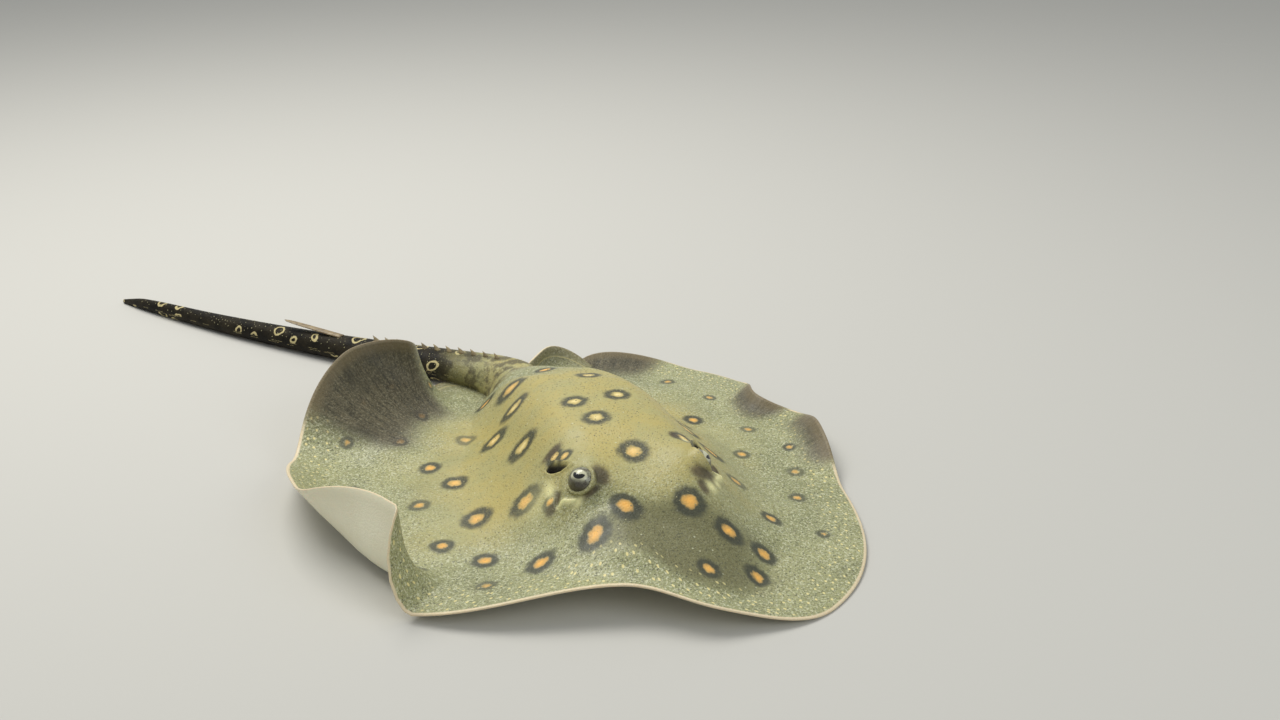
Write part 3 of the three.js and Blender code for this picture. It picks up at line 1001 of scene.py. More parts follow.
def fill_unknown(mesh):
    """Points made by the unions take what their nearest neighbours hold."""
    known = read(mesh, "known") > 0.5
    where = places(mesh)
    tree = KDTree(int(known.sum()))
    for index in np.flatnonzero(known):
        tree.insert(where[index], int(index))
    tree.balance()
    missing = np.flatnonzero(~known)
    source = [tree.find(where[i])[1] for i in missing]
    names = [layer.name for layer in mesh.attributes if layer.domain == "POINT"]
    for name in names:
        if mesh.attributes[name].data_type in ("FLOAT", "FLOAT_VECTOR") and name != "position":
            values = read(mesh, name)
            values[missing] = values[source]
            write(mesh, name, values)


def make_skin():
    """The disc, tail and pelvic fins as one closed skin."""
    skin = disc_and_tail()
    for side, sizes in PELVIC_FINS.items():
        join_closed(skin, pelvic_fin(f"fin_{side}", *sizes))
    fill_unknown(skin.data)
    for face in skin.data.polygons:
        face.use_smooth = True
    return skin


# ------------------------------------------------------------------ eyes and sting

EYE_SIDES, EYE_ROWS = 72, 48


def make_eye(name, side, gaze):
    """An eyeball with a low cornea. Each point also holds its place across, up and along the gaze."""
    gaze = Vector(gaze).normalized()
    across = Vector((0, 0, 1)).cross(gaze).normalized()
    up = gaze.cross(across)
    middle = Vector((EYE["x"] * side, EYE["y"], EYE["z"]))
    points = []
    local = []
    for row in range(EYE_ROWS + 1):
        off = math.pi * row / EYE_ROWS
        radius = EYE["radius"] - 0.25 + 0.45 * bell(off, 0.55)
        for j in range(EYE_SIDES if 0 < row < EYE_ROWS else 1):
            turn = 2 * math.pi * j / EYE_SIDES
            u = math.sin(off) * math.cos(turn)
            v = math.sin(off) * math.sin(turn)
            w = math.cos(off)
            points.append(middle + (across * u + up * v + gaze * w) * radius)
            local.append((u, v, w))
    faces = []
    rings = [[0] * EYE_SIDES]
    rings += [[1 + i * EYE_SIDES + j for j in range(EYE_SIDES)] for i in range(EYE_ROWS - 1)]
    rings += [[len(points) - 1] * EYE_SIDES]
    for ring, after in zip(rings, rings[1:]):
        for j in range(EYE_SIDES):
            k = (j + 1) % EYE_SIDES
            faces.append(tuple(dict.fromkeys((ring[j], ring[k], after[k], after[j]))))
    eye = mesh_object(name, points, faces)
    face_outwards(eye)
    write(eye.data, "eye_place", local)
    return eye


STING_ROWS, STING_SIDES = 44, 16


def sting_half_width(share):
    return STING["half_width"] * (1 - 0.22 * share) * math.sqrt(max(1 - share**7, 0.0)) + 0.05


def sting_place(share):
    """Middle of the sting at a share of its length, and the tail's heading there."""
    x, y, heading = (float(v) for v in tail_place(STING["at"]))
    tail_height = float(along(TAIL_STATIONS, 2, STING["at"]))
    gone = STING["length"] * share
    rise = STING["rise"] * share
    height = tail_height - STING["sink"] + STING["thickness"] / 2 + rise
    return Vector((x - math.sin(heading) * gone, y + math.cos(heading) * gone, height)), heading


def make_sting():
    """A flattened blade with a groove along each edge of its ridge."""
    points = []
    for row in range(STING_ROWS + 1):
        share = row / STING_ROWS
        middle, heading = sting_place(share)
        across = Vector((math.cos(heading), math.sin(heading), 0))
        half = sting_half_width(share)
        thick = STING["thickness"] / 2 * (1 - 0.72 * share**2)
        for j in range(STING_SIDES):
            turn = 2 * math.pi * j / STING_SIDES
            groove = 1 - 0.3 * bell(abs(math.cos(turn)) - 0.5, 0.14) * (math.sin(turn) > 0)
            lift = Vector((0, 0, thick * math.sin(turn) * groove))
            points.append(middle + across * half * math.cos(turn) + lift)
    faces = tube_faces(STING_ROWS + 1, STING_SIDES)
    faces.append(tuple(range(STING_SIDES)))
    faces.append(tuple(range(STING_ROWS * STING_SIDES, (STING_ROWS + 1) * STING_SIDES)))
    sting = mesh_object("sting_blade", points, faces)
    face_outwards(sting)
    return sting


# ------------------------------------------------------------------ thorns and hooks


def spike(name, radius, height, lean, sides=7, rows=4):
    """A thorn whose base is on the origin and whose tip leans towards +Y."""
    points = []
    for row in range(rows):
        share = row / rows
        around = radius * (1 - share) ** 0.8
        back = lean * share**1.6 * height
        for j in range(sides):
            turn = 2 * math.pi * j / sides
            y = around * math.sin(turn) * 1.25 + back
            points.append((around * math.cos(turn), y, share * height))
    points.append((0, lean * height, height))
    faces = [tuple(range(sides)), *tube_faces(rows, sides)]
    first = (rows - 1) * sides
    for j in range(sides):
        faces.append((first + j, first + (j + 1) % sides, len(points) - 1))
    item = mesh_object(name, points, faces)
    face_outwards(item)
    return item


def barb(name, side):
    """A flat hook for one edge of the sting, pointing back and out."""
    outline = [(0, -1.1), (0.55, -0.35), (0.95, 0.75), (0.5, 0.3), (0, 0.9)]
    points = [(side * x, y, z) for z in (-0.28, 0.28) for x, y in outline]
    n = len(outline)
    faces = [tuple(range(n)), tuple(range(n, 2 * n))]
    band(range(n), range(n, 2 * n), faces)
    item = mesh_object(name, points, faces)
    face_outwards(item)
    return item


# ------------------------------------------------------------------ rows and scatterings


class Tree:
    """Makes and joins the nodes of one tree."""

    def __init__(self, tree):
        self.tree = tree

    def join(self, value, socket):
        if isinstance(value, bpy.types.NodeSocket):
            self.tree.links.new(value, socket)
        elif value is not None:
            socket.default_value = value

    def node(self, kind, inputs=None, **settings):
        made = self.tree.nodes.new(kind)
        for key, value in settings.items():
            setattr(made, key, value)
        for key, value in (inputs or {}).items():
            self.join(value, made.inputs[key])
        return made

    def math(self, operation, a, b=None):
        return self.node("ShaderNodeMath", {0: a, 1: b}, operation=operation).outputs[0]

    def vector_math(self, operation, a, b=None, output=0):
        return self.node("ShaderNodeVectorMath", {0: a, 1: b}, operation=operation).outputs[output]

    def ramp(self, value, low, high, start=0.0, end=1.0):
        made = self.node("ShaderNodeMapRange", interpolation_type="SMOOTHSTEP")
        for socket, given in zip(made.inputs, (value, low, high, start, end)):
            self.join(given, socket)
        return made.outputs["Result"]

    def mix(self, share, a, b, blend="MIX"):
        made = self.node("ShaderNodeMix", data_type="RGBA", blend_type=blend)
        self.join(share, made.inputs[0])
        self.join(a, made.inputs[6])
        self.join(b, made.inputs[7])
        return made.outputs[2]

    def attribute(self, name, output="Fac"):
        return self.node("ShaderNodeAttribute", attribute_name=name).outputs[output]

    def noise(self, vector, scale, detail=3.0, roughness=0.5, dimensions="3D"):
        inputs = {"Vector": vector, "Scale": scale, "Detail": detail, "Roughness": roughness}
        return self.node("ShaderNodeTexNoise", inputs, noise_dimensions=dimensions).outputs["Fac"]


def new_tree(name, kind, inputs, outputs):
    """A node group with its named inputs (name, kind, value) and outputs (name, kind)."""
    tree = bpy.data.node_groups.new(name, kind)
    for label, socket, value in inputs:
        made = tree.interface.new_socket(name=label, in_out="INPUT", socket_type=socket)
        if value is not None:
            made.default_value = value
    for label, socket in outputs:
        tree.interface.new_socket(name=label, in_out="OUTPUT", socket_type=socket)
    web = Tree(tree)
    return web, web.node("NodeGroupInput").outputs, web.node("NodeGroupOutput").inputs


def size_between(web, low, high):
    """A number for each copy, drawn between two others."""
    draw = web.node("FunctionNodeRandomValue", {"Seed": SEED}, data_type="FLOAT")
    web.join(low, draw.inputs[2])
    web.join(high, draw.inputs[3])
    return draw.outputs[1]


def place_copies(web, given, result, points, rotation, size):
    """Puts the item on each point, makes the copies real and gives them their material."""
    item = web.node("GeometryNodeObjectInfo", {"Object": given["Item"]}, transform_space="ORIGINAL")
    inputs = {
        "Points": points,
        "Instance": item.outputs["Geometry"],
        "Rotation": rotation,
        "Scale": size,
    }
    copies = web.node("GeometryNodeInstanceOnPoints", inputs)
    real = web.node("GeometryNodeRealizeInstances", {"Geometry": copies.outputs["Instances"]})
    finish = {"Geometry": real.outputs["Geometry"], "Material": given["Material"]}
    web.join(web.node("GeometryNodeSetMaterial", finish).outputs["Geometry"], result["Geometry"])


def row_tree():
    """Copies of one item along a path of edges, following it and changing size from end to end."""
    web, given, result = new_tree(
        "row_along_path",
        "GeometryNodeTree",
        (
            ("Path", "NodeSocketGeometry", None),
            ("Item", "NodeSocketObject", None),
            ("Count", "NodeSocketInt", 10),
            ("First Size", "NodeSocketFloat", 1.0),
            ("Last Size", "NodeSocketFloat", 1.0),
            ("Unevenness", "NodeSocketFloat", 0.1),
            ("Material", "NodeSocketMaterial", None),
        ),
        (("Geometry", "NodeSocketGeometry"),),
    )
    curve = web.node("GeometryNodeMeshToCurve", {"Mesh": given["Path"]}).outputs["Curve"]
    inputs = {"Curve": curve, "Count": given["Count"]}
    spaced = web.node("GeometryNodeCurveToPoints", inputs, mode="COUNT")
    tangent = {"Vector": spaced.outputs["Tangent"]}
    aligned = web.node("FunctionNodeAlignRotationToVector", tangent, axis="Y", pivot_axis="Z")
    index = web.node("GeometryNodeInputIndex").outputs[0]
    place = web.math("DIVIDE", index, web.math("SUBTRACT", given["Count"], 1.0))
    size = web.node("ShaderNodeMapRange")
    for socket, value in zip(size.inputs, (place, 0.0, 1.0, given["First Size"], given["Last Size"])):
        web.join(value, socket)
    least = web.math("SUBTRACT", 1.0, given["Unevenness"])
    draw = size_between(web, least, web.math("ADD", 1.0, given["Unevenness"]))
    scale = web.math("MULTIPLY", size.outputs["Result"], draw)
    place_copies(web, given, result, spaced.outputs["Points"], aligned.outputs[0], scale)
    return web.tree


def scatter_tree():
    """Copies of one item over a surface, where a number held by its points allows them."""
    web, given, result = new_tree(
        "scatter_on_skin",
        "GeometryNodeTree",
        (
            ("Surface", "NodeSocketGeometry", None),
            ("Item", "NodeSocketObject", None),
            ("Most per Square Metre", "NodeSocketFloat", 90000.0),
            ("Closest", "NodeSocketFloat", 0.0024),
            ("Smallest", "NodeSocketFloat", 0.5),
            ("Largest", "NodeSocketFloat", 1.1),
            ("Material", "NodeSocketMaterial", None),
        ),
        (("Geometry", "NodeSocketGeometry"),),
    )
    share = web.node("GeometryNodeInputNamedAttribute", {"Name": "denticle"}, data_type="FLOAT")
    inputs = {
        "Mesh": given["Surface"],
        "Distance Min": given["Closest"],
        "Density Max": given["Most per Square Metre"],
        "Density Factor": share.outputs["Attribute"],
        "Seed": SEED,
    }
    spread = web.node("GeometryNodeDistributePointsOnFaces", inputs, distribute_method="POISSON")
    size = size_between(web, given["Smallest"], given["Largest"])
    place_copies(web, given, result, spread.outputs["Points"], spread.outputs["Rotation"], size)
    return web.tree


def grown(name, tree, source, values):
    """Runs a geometry tree on the source mesh and keeps what it makes as a plain mesh of its own."""
    bed = bpy.data.objects.new(name + "_bed", source)
    bpy.context.scene.collection.objects.link(bed)
    modifier = bed.modifiers.new("grow", "NODES")
    modifier.node_group = tree
    for item in tree.interface.items_tree:
        if item.name in values:
            modifier[item.identifier] = values[item.name]
    mesh = evaluated_mesh(bed)
    bed.modifiers.remove(modifier)
    bpy.data.objects.remove(bed)
    piece = bpy.data.objects.new(name, mesh)
    bpy.context.scene.collection.objects.link(piece)
    for face in mesh.polygons:
        face.use_smooth = True
    return piece


def path_mesh(name, points):
    mesh = bpy.data.meshes.new(name)
    steps = [(i, i + 1) for i in range(len(points) - 1)]
    mesh.from_pydata([tuple(c * MM for c in p) for p in points], steps, [])
    return mesh


def tail_ridge(start, end, count=60):
    """The line along the top of the tail."""
    line = []
    for i in range(count):
        share = start + (end - start) * i / (count - 1)
        x, y, _ = tail_place(share)
        line.append((float(x), float(y), float(along(TAIL_STATIONS, 2, share)) - 0.5))
    return line


# ------------------------------------------------------------------ finishes


def paint(red, green, blue):
    """A colour given in screen levels from 0 to 255, as the light values that shaders use."""
    levels = [c / 255 for c in (red, green, blue)]
    return (*[c / 12.92 if c <= 0.04045 else ((c + 0.055) / 1.055) ** 2.4 for c in levels], 1)


DOME = paint(178, 164, 100)
WING = paint(160, 160, 116)
WING_SHADE = paint(134, 136, 98)
# Painted shade for the slope in front of the eyes, which faces away from the light.
SNOUT_SLOPE_SHADE = paint(104, 100, 66)
WING_PALE = paint(206, 206, 174)
WING_DARK = paint(70, 72, 54)
FRECKLE = paint(74, 68, 42)
RING = paint(60, 62, 50)
SPOT_GOLD = paint(202, 158, 86)
SPOT_STRAW = paint(196, 174, 108)
SPOT_HEART = paint(238, 218, 152)
SPOT_AMBER = paint(246, 184, 88)
SPOT_DULL = paint(170, 148, 98)
DOT_PALE = paint(228, 214, 150)
# Fold colours: partly the skin's own brown, partly painted shade on the steep faces of the folds.
FOLD_BROWN = paint(94, 86, 66)
FOLD_DARK = paint(48, 43, 31)
FOLD_PALE = paint(150, 142, 116)
FOLD_EDGE = paint(112, 98, 70)
BELLY = paint(240, 236, 208)
BELLY_SHADE = paint(222, 215, 184)
# Pale edge of the skin; along the top of the rim it is also a painted highlight.
EDGE = paint(230, 210, 176)
# Painted shade inside the spiracle pits; also the darker tone of the patches round the eyes.
PIT_DARK = paint(34, 30, 24)
GILL_PINK = paint(150, 112, 96)
PATCH_BROWN = paint(84, 72, 54)
BAR_PALE = paint(236, 230, 170)
# Near-black of the tail: partly its own dark colour, partly painted shadow.
TAIL_BLACK = paint(24, 22, 18)
TAIL_BROWN = paint(62, 55, 40)
TAIL_MARK = paint(196, 182, 134)
TAIL_CELLS = 50.0
EYE_PUPIL = paint(8, 8, 8)
EYE_SILVER = paint(196, 194, 164)
EYE_GREY = paint(96, 90, 72)
EYE_RIM = paint(54, 48, 38)
EYE_PALE = paint(144, 144, 120)
THORN_COLOURS = (paint(150, 134, 98), paint(72, 60, 42))
DENTICLE_COLOURS = (paint(176, 170, 128), paint(96, 90, 62))
BONE_COLOURS = (paint(150, 132, 98), paint(88, 70, 48))
FLOOR_PALE = paint(190, 188, 182)


def new_material(name):
    material = bpy.data.materials.new(name)
    material.use_nodes = True
    web = Tree(material.node_tree)
    return material, web, material.node_tree.nodes["Principled BSDF"].inputs


def speckle_group():
    """Round specks: one in each chosen cell."""
    web, given, result = new_tree(
        "speckle",
        "ShaderNodeTree",
        (
            ("Vector", "NodeSocketVector", None),
            ("Scale", "NodeSocketFloat", 300.0),
            ("Share", "NodeSocketFloat", 0.3),
            ("Size", "NodeSocketFloat", 0.3),
        ),
        (("Mask", "NodeSocketFloat"),),
    )
    cells = web.node("ShaderNodeTexVoronoi", {"Vector": given["Vector"], "Scale": given["Scale"]})
    core = web.math("MULTIPLY", given["Size"], 0.55)
    speck = web.ramp(cells.outputs["Distance"], core, given["Size"], 1, 0)
    pick = web.node("ShaderNodeSeparateColor", {0: cells.outputs["Color"]}).outputs[0]
    chosen = web.math("LESS_THAN", pick, given["Share"])
    web.join(web.math("MULTIPLY", speck, chosen), result["Mask"])
    return web.tree


def uneven_group():
    """A colour that drifts softly towards a second one."""
    web, given, result = new_tree(
        "uneven_colour",
        "ShaderNodeTree",
        (
            ("Vector", "NodeSocketVector", None),
            ("Colour", "NodeSocketColor", None),
            ("Second", "NodeSocketColor", None),
            ("Scale", "NodeSocketFloat", 30.0),
            ("Amount", "NodeSocketFloat", 0.5),
        ),
        (("Colour", "NodeSocketColor"), ("Mask", "NodeSocketFloat")),
    )
    drift = web.ramp(web.noise(given["Vector"], given["Scale"], 5.0, 0.6), 0.34, 0.66)
    web.join(drift, result["Mask"])
    share = web.math("MULTIPLY", drift, given["Amount"])
    web.join(web.mix(share, given["Colour"], given["Second"]), result["Colour"])
    return web.tree


def grain_group():
    """Height of a fine leathery grain over a coarser one."""
    web, given, result = new_tree(
        "skin_grain",
        "ShaderNodeTree",
        (
            ("Vector", "NodeSocketVector", None),
            ("Fine Scale", "NodeSocketFloat", 900.0),
            ("Coarse Scale", "NodeSocketFloat", 220.0),
            ("Coarse Share", "NodeSocketFloat", 0.4),
        ),
        (("Height", "NodeSocketFloat"),),
    )
    cells = web.node("ShaderNodeTexVoronoi", {"Vector": given["Vector"], "Scale": given["Fine Scale"]})
    fine = web.math("SUBTRACT", 1.0, cells.outputs["Distance"])
    coarse = web.noise(given["Vector"], given["Coarse Scale"], 4.0, 0.6)
    coarse = web.math("MULTIPLY", coarse, given["Coarse Share"])
    web.join(web.math("ADD", fine, coarse), result["Height"])
    return web.tree


GROUPS = {"speckle": speckle_group(), "uneven": uneven_group(), "grain": grain_group()}


def use(web, group, output, values):
    """Places one of the groups above with its own values."""
    return web.node("ShaderNodeGroup", values, node_tree=GROUPS[group]).outputs[output]


def uneven(web, place, colour, second, scale, amount):
    values = {"Vector": place, "Colour": colour, "Second": second, "Scale": scale, "Amount": amount}
    return use(web, "uneven", "Colour", values)


def speckle(web, place, scale, share, size):
    return use(web, "speckle", "Mask", {"Vector": place, "Scale": scale, "Share": share, "Size": size})


def grain(web, place, fine, coarse, coarse_share):
    values = {"Vector": place, "Fine Scale": fine, "Coarse Scale": coarse, "Coarse Share": coarse_share}
    return use(web, "grain", "Height", values)


def both(web, *masks):
    """All the masks multiplied together."""
    result = masks[0]
    for mask in masks[1:]:
        result = web.math("MULTIPLY", result, mask)
    return result


def bumped(web, height, strength):
    inputs = {"Height": height, "Distance": 1.0, "Strength": strength}
    return web.node("ShaderNodeBump", inputs).outputs["Normal"]


def drifting(web, place, scale, detail, amount):
    """A soft drift either side of 0."""
    return both(web, web.math("SUBTRACT", web.noise(place, scale, detail), 0.5), amount)


def ring_spots(web, place, base, outer):
    """The ringed spots: a gold heart, a dark ring with a soft and ragged outer edge."""
    reach = web.math("ADD", web.attribute("spot"), drifting(web, place, 230.0, 2.0, 0.42))
    tone = both(web, web.attribute("spot_tone"), web.ramp(outer, 0.8, 1.0, 1.0, 0.6))
    ring_dots = web.ramp(web.noise(place, 700.0, 2.0), 0.3, 0.55, 0.78, 1.0)
    ring_band = both(web, web.ramp(reach, 0.30, 0.56), web.ramp(reach, 0.74, 1.2, 1.0, 0.0))
    colour = web.mix(both(web, ring_band, tone, ring_dots), base, RING)
    forward = web.ramp(outer, 0.25, 0.55)
    gold = web.mix(forward, SPOT_STRAW, SPOT_GOLD)
    gold = web.mix(web.ramp(outer, 0.8, 0.97), gold, SPOT_DULL)
    heart = web.mix(forward, SPOT_HEART, SPOT_AMBER)
    colour = web.mix(both(web, web.ramp(reach, 0.32, 0.54, 1.0, 0.0), tone), colour, gold)
    return web.mix(both(web, web.ramp(reach, 0.05, 0.40, 0.9, 0.0), tone), colour, heart)


def wing_grains(web, place, base, outer, front):
    """The wings' salt-and-pepper grain, thickest towards the rim and thin in front of the eyes."""
    uneven = both(web, web.noise(place, 26.0, 3.0), 0.4)
    share = web.ramp(web.math("ADD", outer, uneven), 0.54, 0.96)
    thin = web.ramp(front, 0.1, 0.7, 0.72, 0.1)
    pale = both(web, web.ramp(web.noise(place, 620.0, 2.0, 0.8), 0.52, 0.60), share, thin)
    dark = both(web, web.ramp(web.noise(place, 700.0, 2.0, 0.8), 0.46, 0.36), share, 0.75)
    return web.mix(dark, web.mix(pale, base, WING_PALE), WING_DARK)


def small_flecks(web, place, base):
    """Dark freckles and smudges, and fewer pale flecks."""
    freckles = speckle(web, place, 560.0, 0.34, 0.32)
    colour = web.mix(both(web, freckles, 0.55), base, FRECKLE)
    smudges = web.ramp(web.noise(place, 330.0, 3.0, 0.7), 0.56, 0.74, 0.0, 0.4)
    colour = web.mix(smudges, colour, FRECKLE)
    flecks = speckle(web, place, 250.0, 0.13, 0.2)
    return web.mix(both(web, flecks, 0.6), colour, WING_PALE)


def streaks(web, rim_place):
    """Fine lines that run out towards the rim."""
    scaled = web.vector_math("MULTIPLY", rim_place, (380.0, 46.0, 1.0))
    return web.noise(scaled, 1.0, 5.0, 0.7, "2D")


def folds(web, place, base, fold, rim_place, depth):
    """Brown-grey skin with fine streaks and grains, darker in soft clouds and warmer along the rim. The
    brown-grey is partly the skin's own colour and partly painted shade on the folds' steep faces.
    """
    lines = streaks(web, rim_place)
    brown = web.mix(web.ramp(lines, 0.3, 0.7), FOLD_DARK, FOLD_BROWN)
    grains = web.ramp(web.noise(place, 640.0, 2.0, 0.8), 0.5, 0.62)
    brown = web.mix(both(web, grains, web.ramp(fold, 0.3, 1.0, 0.75, 0.4)), brown, FOLD_PALE)
    clouds = web.ramp(web.noise(place, 26.0, 3.0), 0.42, 0.66, 0.0, 0.6)
    brown = web.mix(clouds, brown, FOLD_DARK)
    brown = web.mix(web.ramp(depth, 0.003, 0.012, 0.7, 0.0), brown, FOLD_EDGE)
    share = web.ramp(web.math("ADD", fold, both(web, lines, 0.3)), 0.15, 1.1, 0.0, 0.95)
    return web.mix(share, base, brown)


def flat_cells(web, vector, scale, uneven):
    """Cells over two coordinates, for marks that follow the rim or the tail."""
    inputs = {"Vector": vector, "Scale": scale, "Randomness": uneven}
    return web.node("ShaderNodeTexVoronoi", inputs, voronoi_dimensions="2D").outputs


def margin_dots(web, base, rim_place, depth):
    """Small pale dots in two or three rows inside the rim."""
    dot = web.ramp(flat_cells(web, rim_place, 128.0, 0.7)["Distance"], 0.09, 0.15, 1.0, 0.0)
    near_rim = both(web, web.ramp(depth, 0.002, 0.004), web.ramp(depth, 0.020, 0.034, 1.0, 0.0))
    return web.mix(both(web, dot, near_rim, 0.85), base, DOT_PALE)


def rim_line(web, base, fold, depth):
    """The thin pale line along the rim, faint on the folds: partly the skin's pale edge, partly a
    painted highlight where the edge catches the light.
    """
    line = both(web, web.ramp(depth, 0.0006, 0.0017, 1.0, 0.0), web.ramp(fold, 0.1, 0.5, 0.8, 0.1))
    return web.mix(line, base, EDGE)


def eye_surroundings(web, place, base):
    """Soft brown patches round each eye, and the pale skin and bar beside them."""
    soft = both(web, web.math("SUBTRACT", web.noise(place, 90.0, 4.0, 0.6), 0.5), 0.5)
    patch = web.ramp(web.math("ADD", web.attribute("eye_patch"), soft), 0.12, 0.8)
    brown = uneven(web, place, PATCH_BROWN, PIT_DARK, 120.0, 0.6)
    colour = web.mix(both(web, patch, 0.88), base, brown)
    return web.mix(both(web, web.attribute("pale_skin"), 0.88), colour, BAR_PALE)


def tail_marks(web, place, tail_place):
    """1 on the pale rings and brackets along the tail, one in each chosen cell."""
    warp = web.node("ShaderNodeTexNoise", {"Vector": place, "Scale": 130.0, "Detail": 2.0})
    shift = web.vector_math("SUBTRACT", warp.outputs["Color"], (0.5, 0.5, 0.5))
    shift = web.vector_math("MULTIPLY", shift, (0.006, 0.006, 0.0))
    spot = web.vector_math("ADD", tail_place, shift)
    cells = flat_cells(web, spot, TAIL_CELLS, 0.6)
    scaled = web.node("ShaderNodeVectorMath", {0: spot, "Scale": TAIL_CELLS}, operation="SCALE")
    local = web.vector_math("SUBTRACT", scaled.outputs[0], cells["Position"])
    ahead = web.node("ShaderNodeSeparateXYZ", {0: local}).outputs[0]
    keep, close, width = web.node("ShaderNodeSeparateColor", {0: cells["Color"]}).outputs
    ring_size = web.math("ADD", 0.13, both(web, width, 0.12))
    away = web.math("ABSOLUTE", web.math("SUBTRACT", cells["Distance"], ring_size))
    ring = web.ramp(away, 0.028, 0.06, 1.0, 0.0)
    whole = web.math("LESS_THAN", close, 0.12)
    bracket = web.math("MAXIMUM", web.ramp(ahead, 0.0, 0.08), whole)
    return both(web, ring, bracket, web.math("LESS_THAN", keep, 0.66))


def tail_skin(web, place, base, tail, drift):
    """Brown blotches at the root, then near-black with pale rings and brackets; the near-black is
    partly the tail's own colour and partly painted shadow. Also its share.
    """
    blotch = web.ramp(web.noise(place, 75.0, 4.0, 0.6), 0.42, 0.58)
    colour = web.mix(both(web, blotch, web.ramp(tail, 0.05, 0.3), 0.75), base, TAIL_BROWN)
    black = uneven(web, place, TAIL_BLACK, TAIL_BROWN, 90.0, 0.45)
    marks = tail_marks(web, place, web.attribute("tail_place", "Vector"))
    black = web.mix(both(web, marks, 0.92), black, TAIL_MARK)
    share = web.ramp(web.math("ADD", tail, both(web, drift, 1.6)), 0.3, 0.75)
    return web.mix(share, colour, black), share


def underside(web, place, base, depth):
    """Cream below the rim, pink inside the openings below, and a painted shade inside the spiracle pits
    on top.
    """
    upper = web.attribute("upper")
    belly = uneven(web, place, BELLY, BELLY_SHADE, 14.0, 0.45)
    belly = web.mix(both(web, web.ramp(depth, 0.0, 0.022, 1.0, 0.0), 0.4), belly, BELLY_SHADE)
    belly = web.mix(web.ramp(upper, 0.0, 0.15), belly, EDGE)
    colour = web.mix(web.ramp(upper, 0.12, 0.55), belly, base)
    # Pink in the openings below; painted shade in the spiracle pits on top.
    dark = web.mix(web.ramp(upper, 0.2, 0.8), GILL_PINK, PIT_DARK)
    return web.mix(web.ramp(web.attribute("cavity"), 0.15, 0.75), colour, dark)


def back_and_wings(web, place, outer, drift, front):
    """Olive on the back, greyer on the wings, and a painted shade on the slope in front of the eyes."""
    colour = uneven(web, place, DOME, WING, 34.0, 0.5)
    wing = uneven(web, place, WING, WING_SHADE, 22.0, 0.8)
    colour = web.mix(web.ramp(web.math("ADD", outer, drift), 0.38, 0.74), colour, wing)
    # Painted shade on the slope in front of the eyes.
    return web.mix(both(web, front, 0.8), colour, SNOUT_SLOPE_SHADE)


def skin_bump(web, place, rim_place, outer, fold):
    """Fine leathery grain, with streaks on the folds and along the rim."""
    pores = grain(web, place, 760.0, 170.0, 0.9)
    streaked = web.math("MAXIMUM", fold, both(web, web.ramp(outer, 0.6, 0.9), 0.4))
    lines = both(web, streaks(web, rim_place), streaked)
    height = web.math("ADD", both(web, pores, 0.00022), both(web, lines, 0.0009))
    return bumped(web, height, 0.9)


def skin_material():
    material, web, shader = new_material("ray_skin")
    place = web.node("ShaderNodeTexCoord").outputs["Object"]
    outer = web.attribute("outer")
    fold = web.attribute("fold")
    rim_place = web.attribute("rim_place", "Vector")
    depth = web.node("ShaderNodeSeparateXYZ", {0: rim_place}).outputs[1]
    drift = drifting(web, place, 18.0, 4.0, 0.35)
    front = web.ramp(web.math("ADD", web.attribute("front"), drift), 0.15, 0.85)
    colour = back_and_wings(web, place, outer, drift, front)
    colour = wing_grains(web, place, colour, outer, front)
    colour = small_flecks(web, place, colour)
    colour = ring_spots(web, place, colour, outer)
    colour = margin_dots(web, colour, rim_place, depth)
    colour = folds(web, place, colour, fold, rim_place, depth)
    colour = rim_line(web, colour, fold, depth)
    colour = eye_surroundings(web, place, colour)
    colour, tail_share = tail_skin(web, place, colour, web.attribute("tail"), drift)
    web.join(underside(web, place, colour, depth), shader["Base Color"])
    web.join(web.ramp(web.noise(place, 160.0, 3.0), 0.3, 0.7, 0.40, 0.56), shader["Roughness"])
    web.join(web.ramp(tail_share, 0.0, 1.0, 0.45, 0.12), shader["Specular IOR Level"])
    web.join(web.ramp(tail_share, 0.0, 1.0, 0.08, 0.0), shader["Coat Weight"])
    web.join(skin_bump(web, place, rim_place, outer, fold), shader["Normal"])
    shader["IOR"].default_value = 1.4
    shader["Coat Roughness"].default_value = 0.22
    shader["Subsurface Weight"].default_value = 0.08
    shader["Subsurface Radius"].default_value = (0.8, 0.5, 0.3)
    shader["Subsurface Scale"].default_value = 0.004
    return material


def oval_reach(web, u, v, centre, wide, tall):
    """Distance from the middle of an oval on the eye. 1 at its edge."""
    across = web.math("POWER", web.math("DIVIDE", u, wide), 2.0)
    upright = web.math("POWER", web.math("DIVIDE", web.math("SUBTRACT", v, centre), tall), 2.0)
    return web.math("SQRT", web.math("ADD", across, upright))


def pupil_mask(web, u, v, front):
    """A half-moon: an oval whose top is cut off, less in the middle."""
    notch = web.ramp(web.math("ABSOLUTE", u), 0.0, 0.3, 0.10, 0.19)
    below_notch = web.ramp(web.math("SUBTRACT", v, notch), -0.03, 0.02, 1.0, 0.0)
    oval_share = web.ramp(oval_reach(web, u, v, 0.12, 0.43, 0.36), 0.92, 1.02, 1.0, 0.0)
    return both(web, oval_share, below_notch, front)


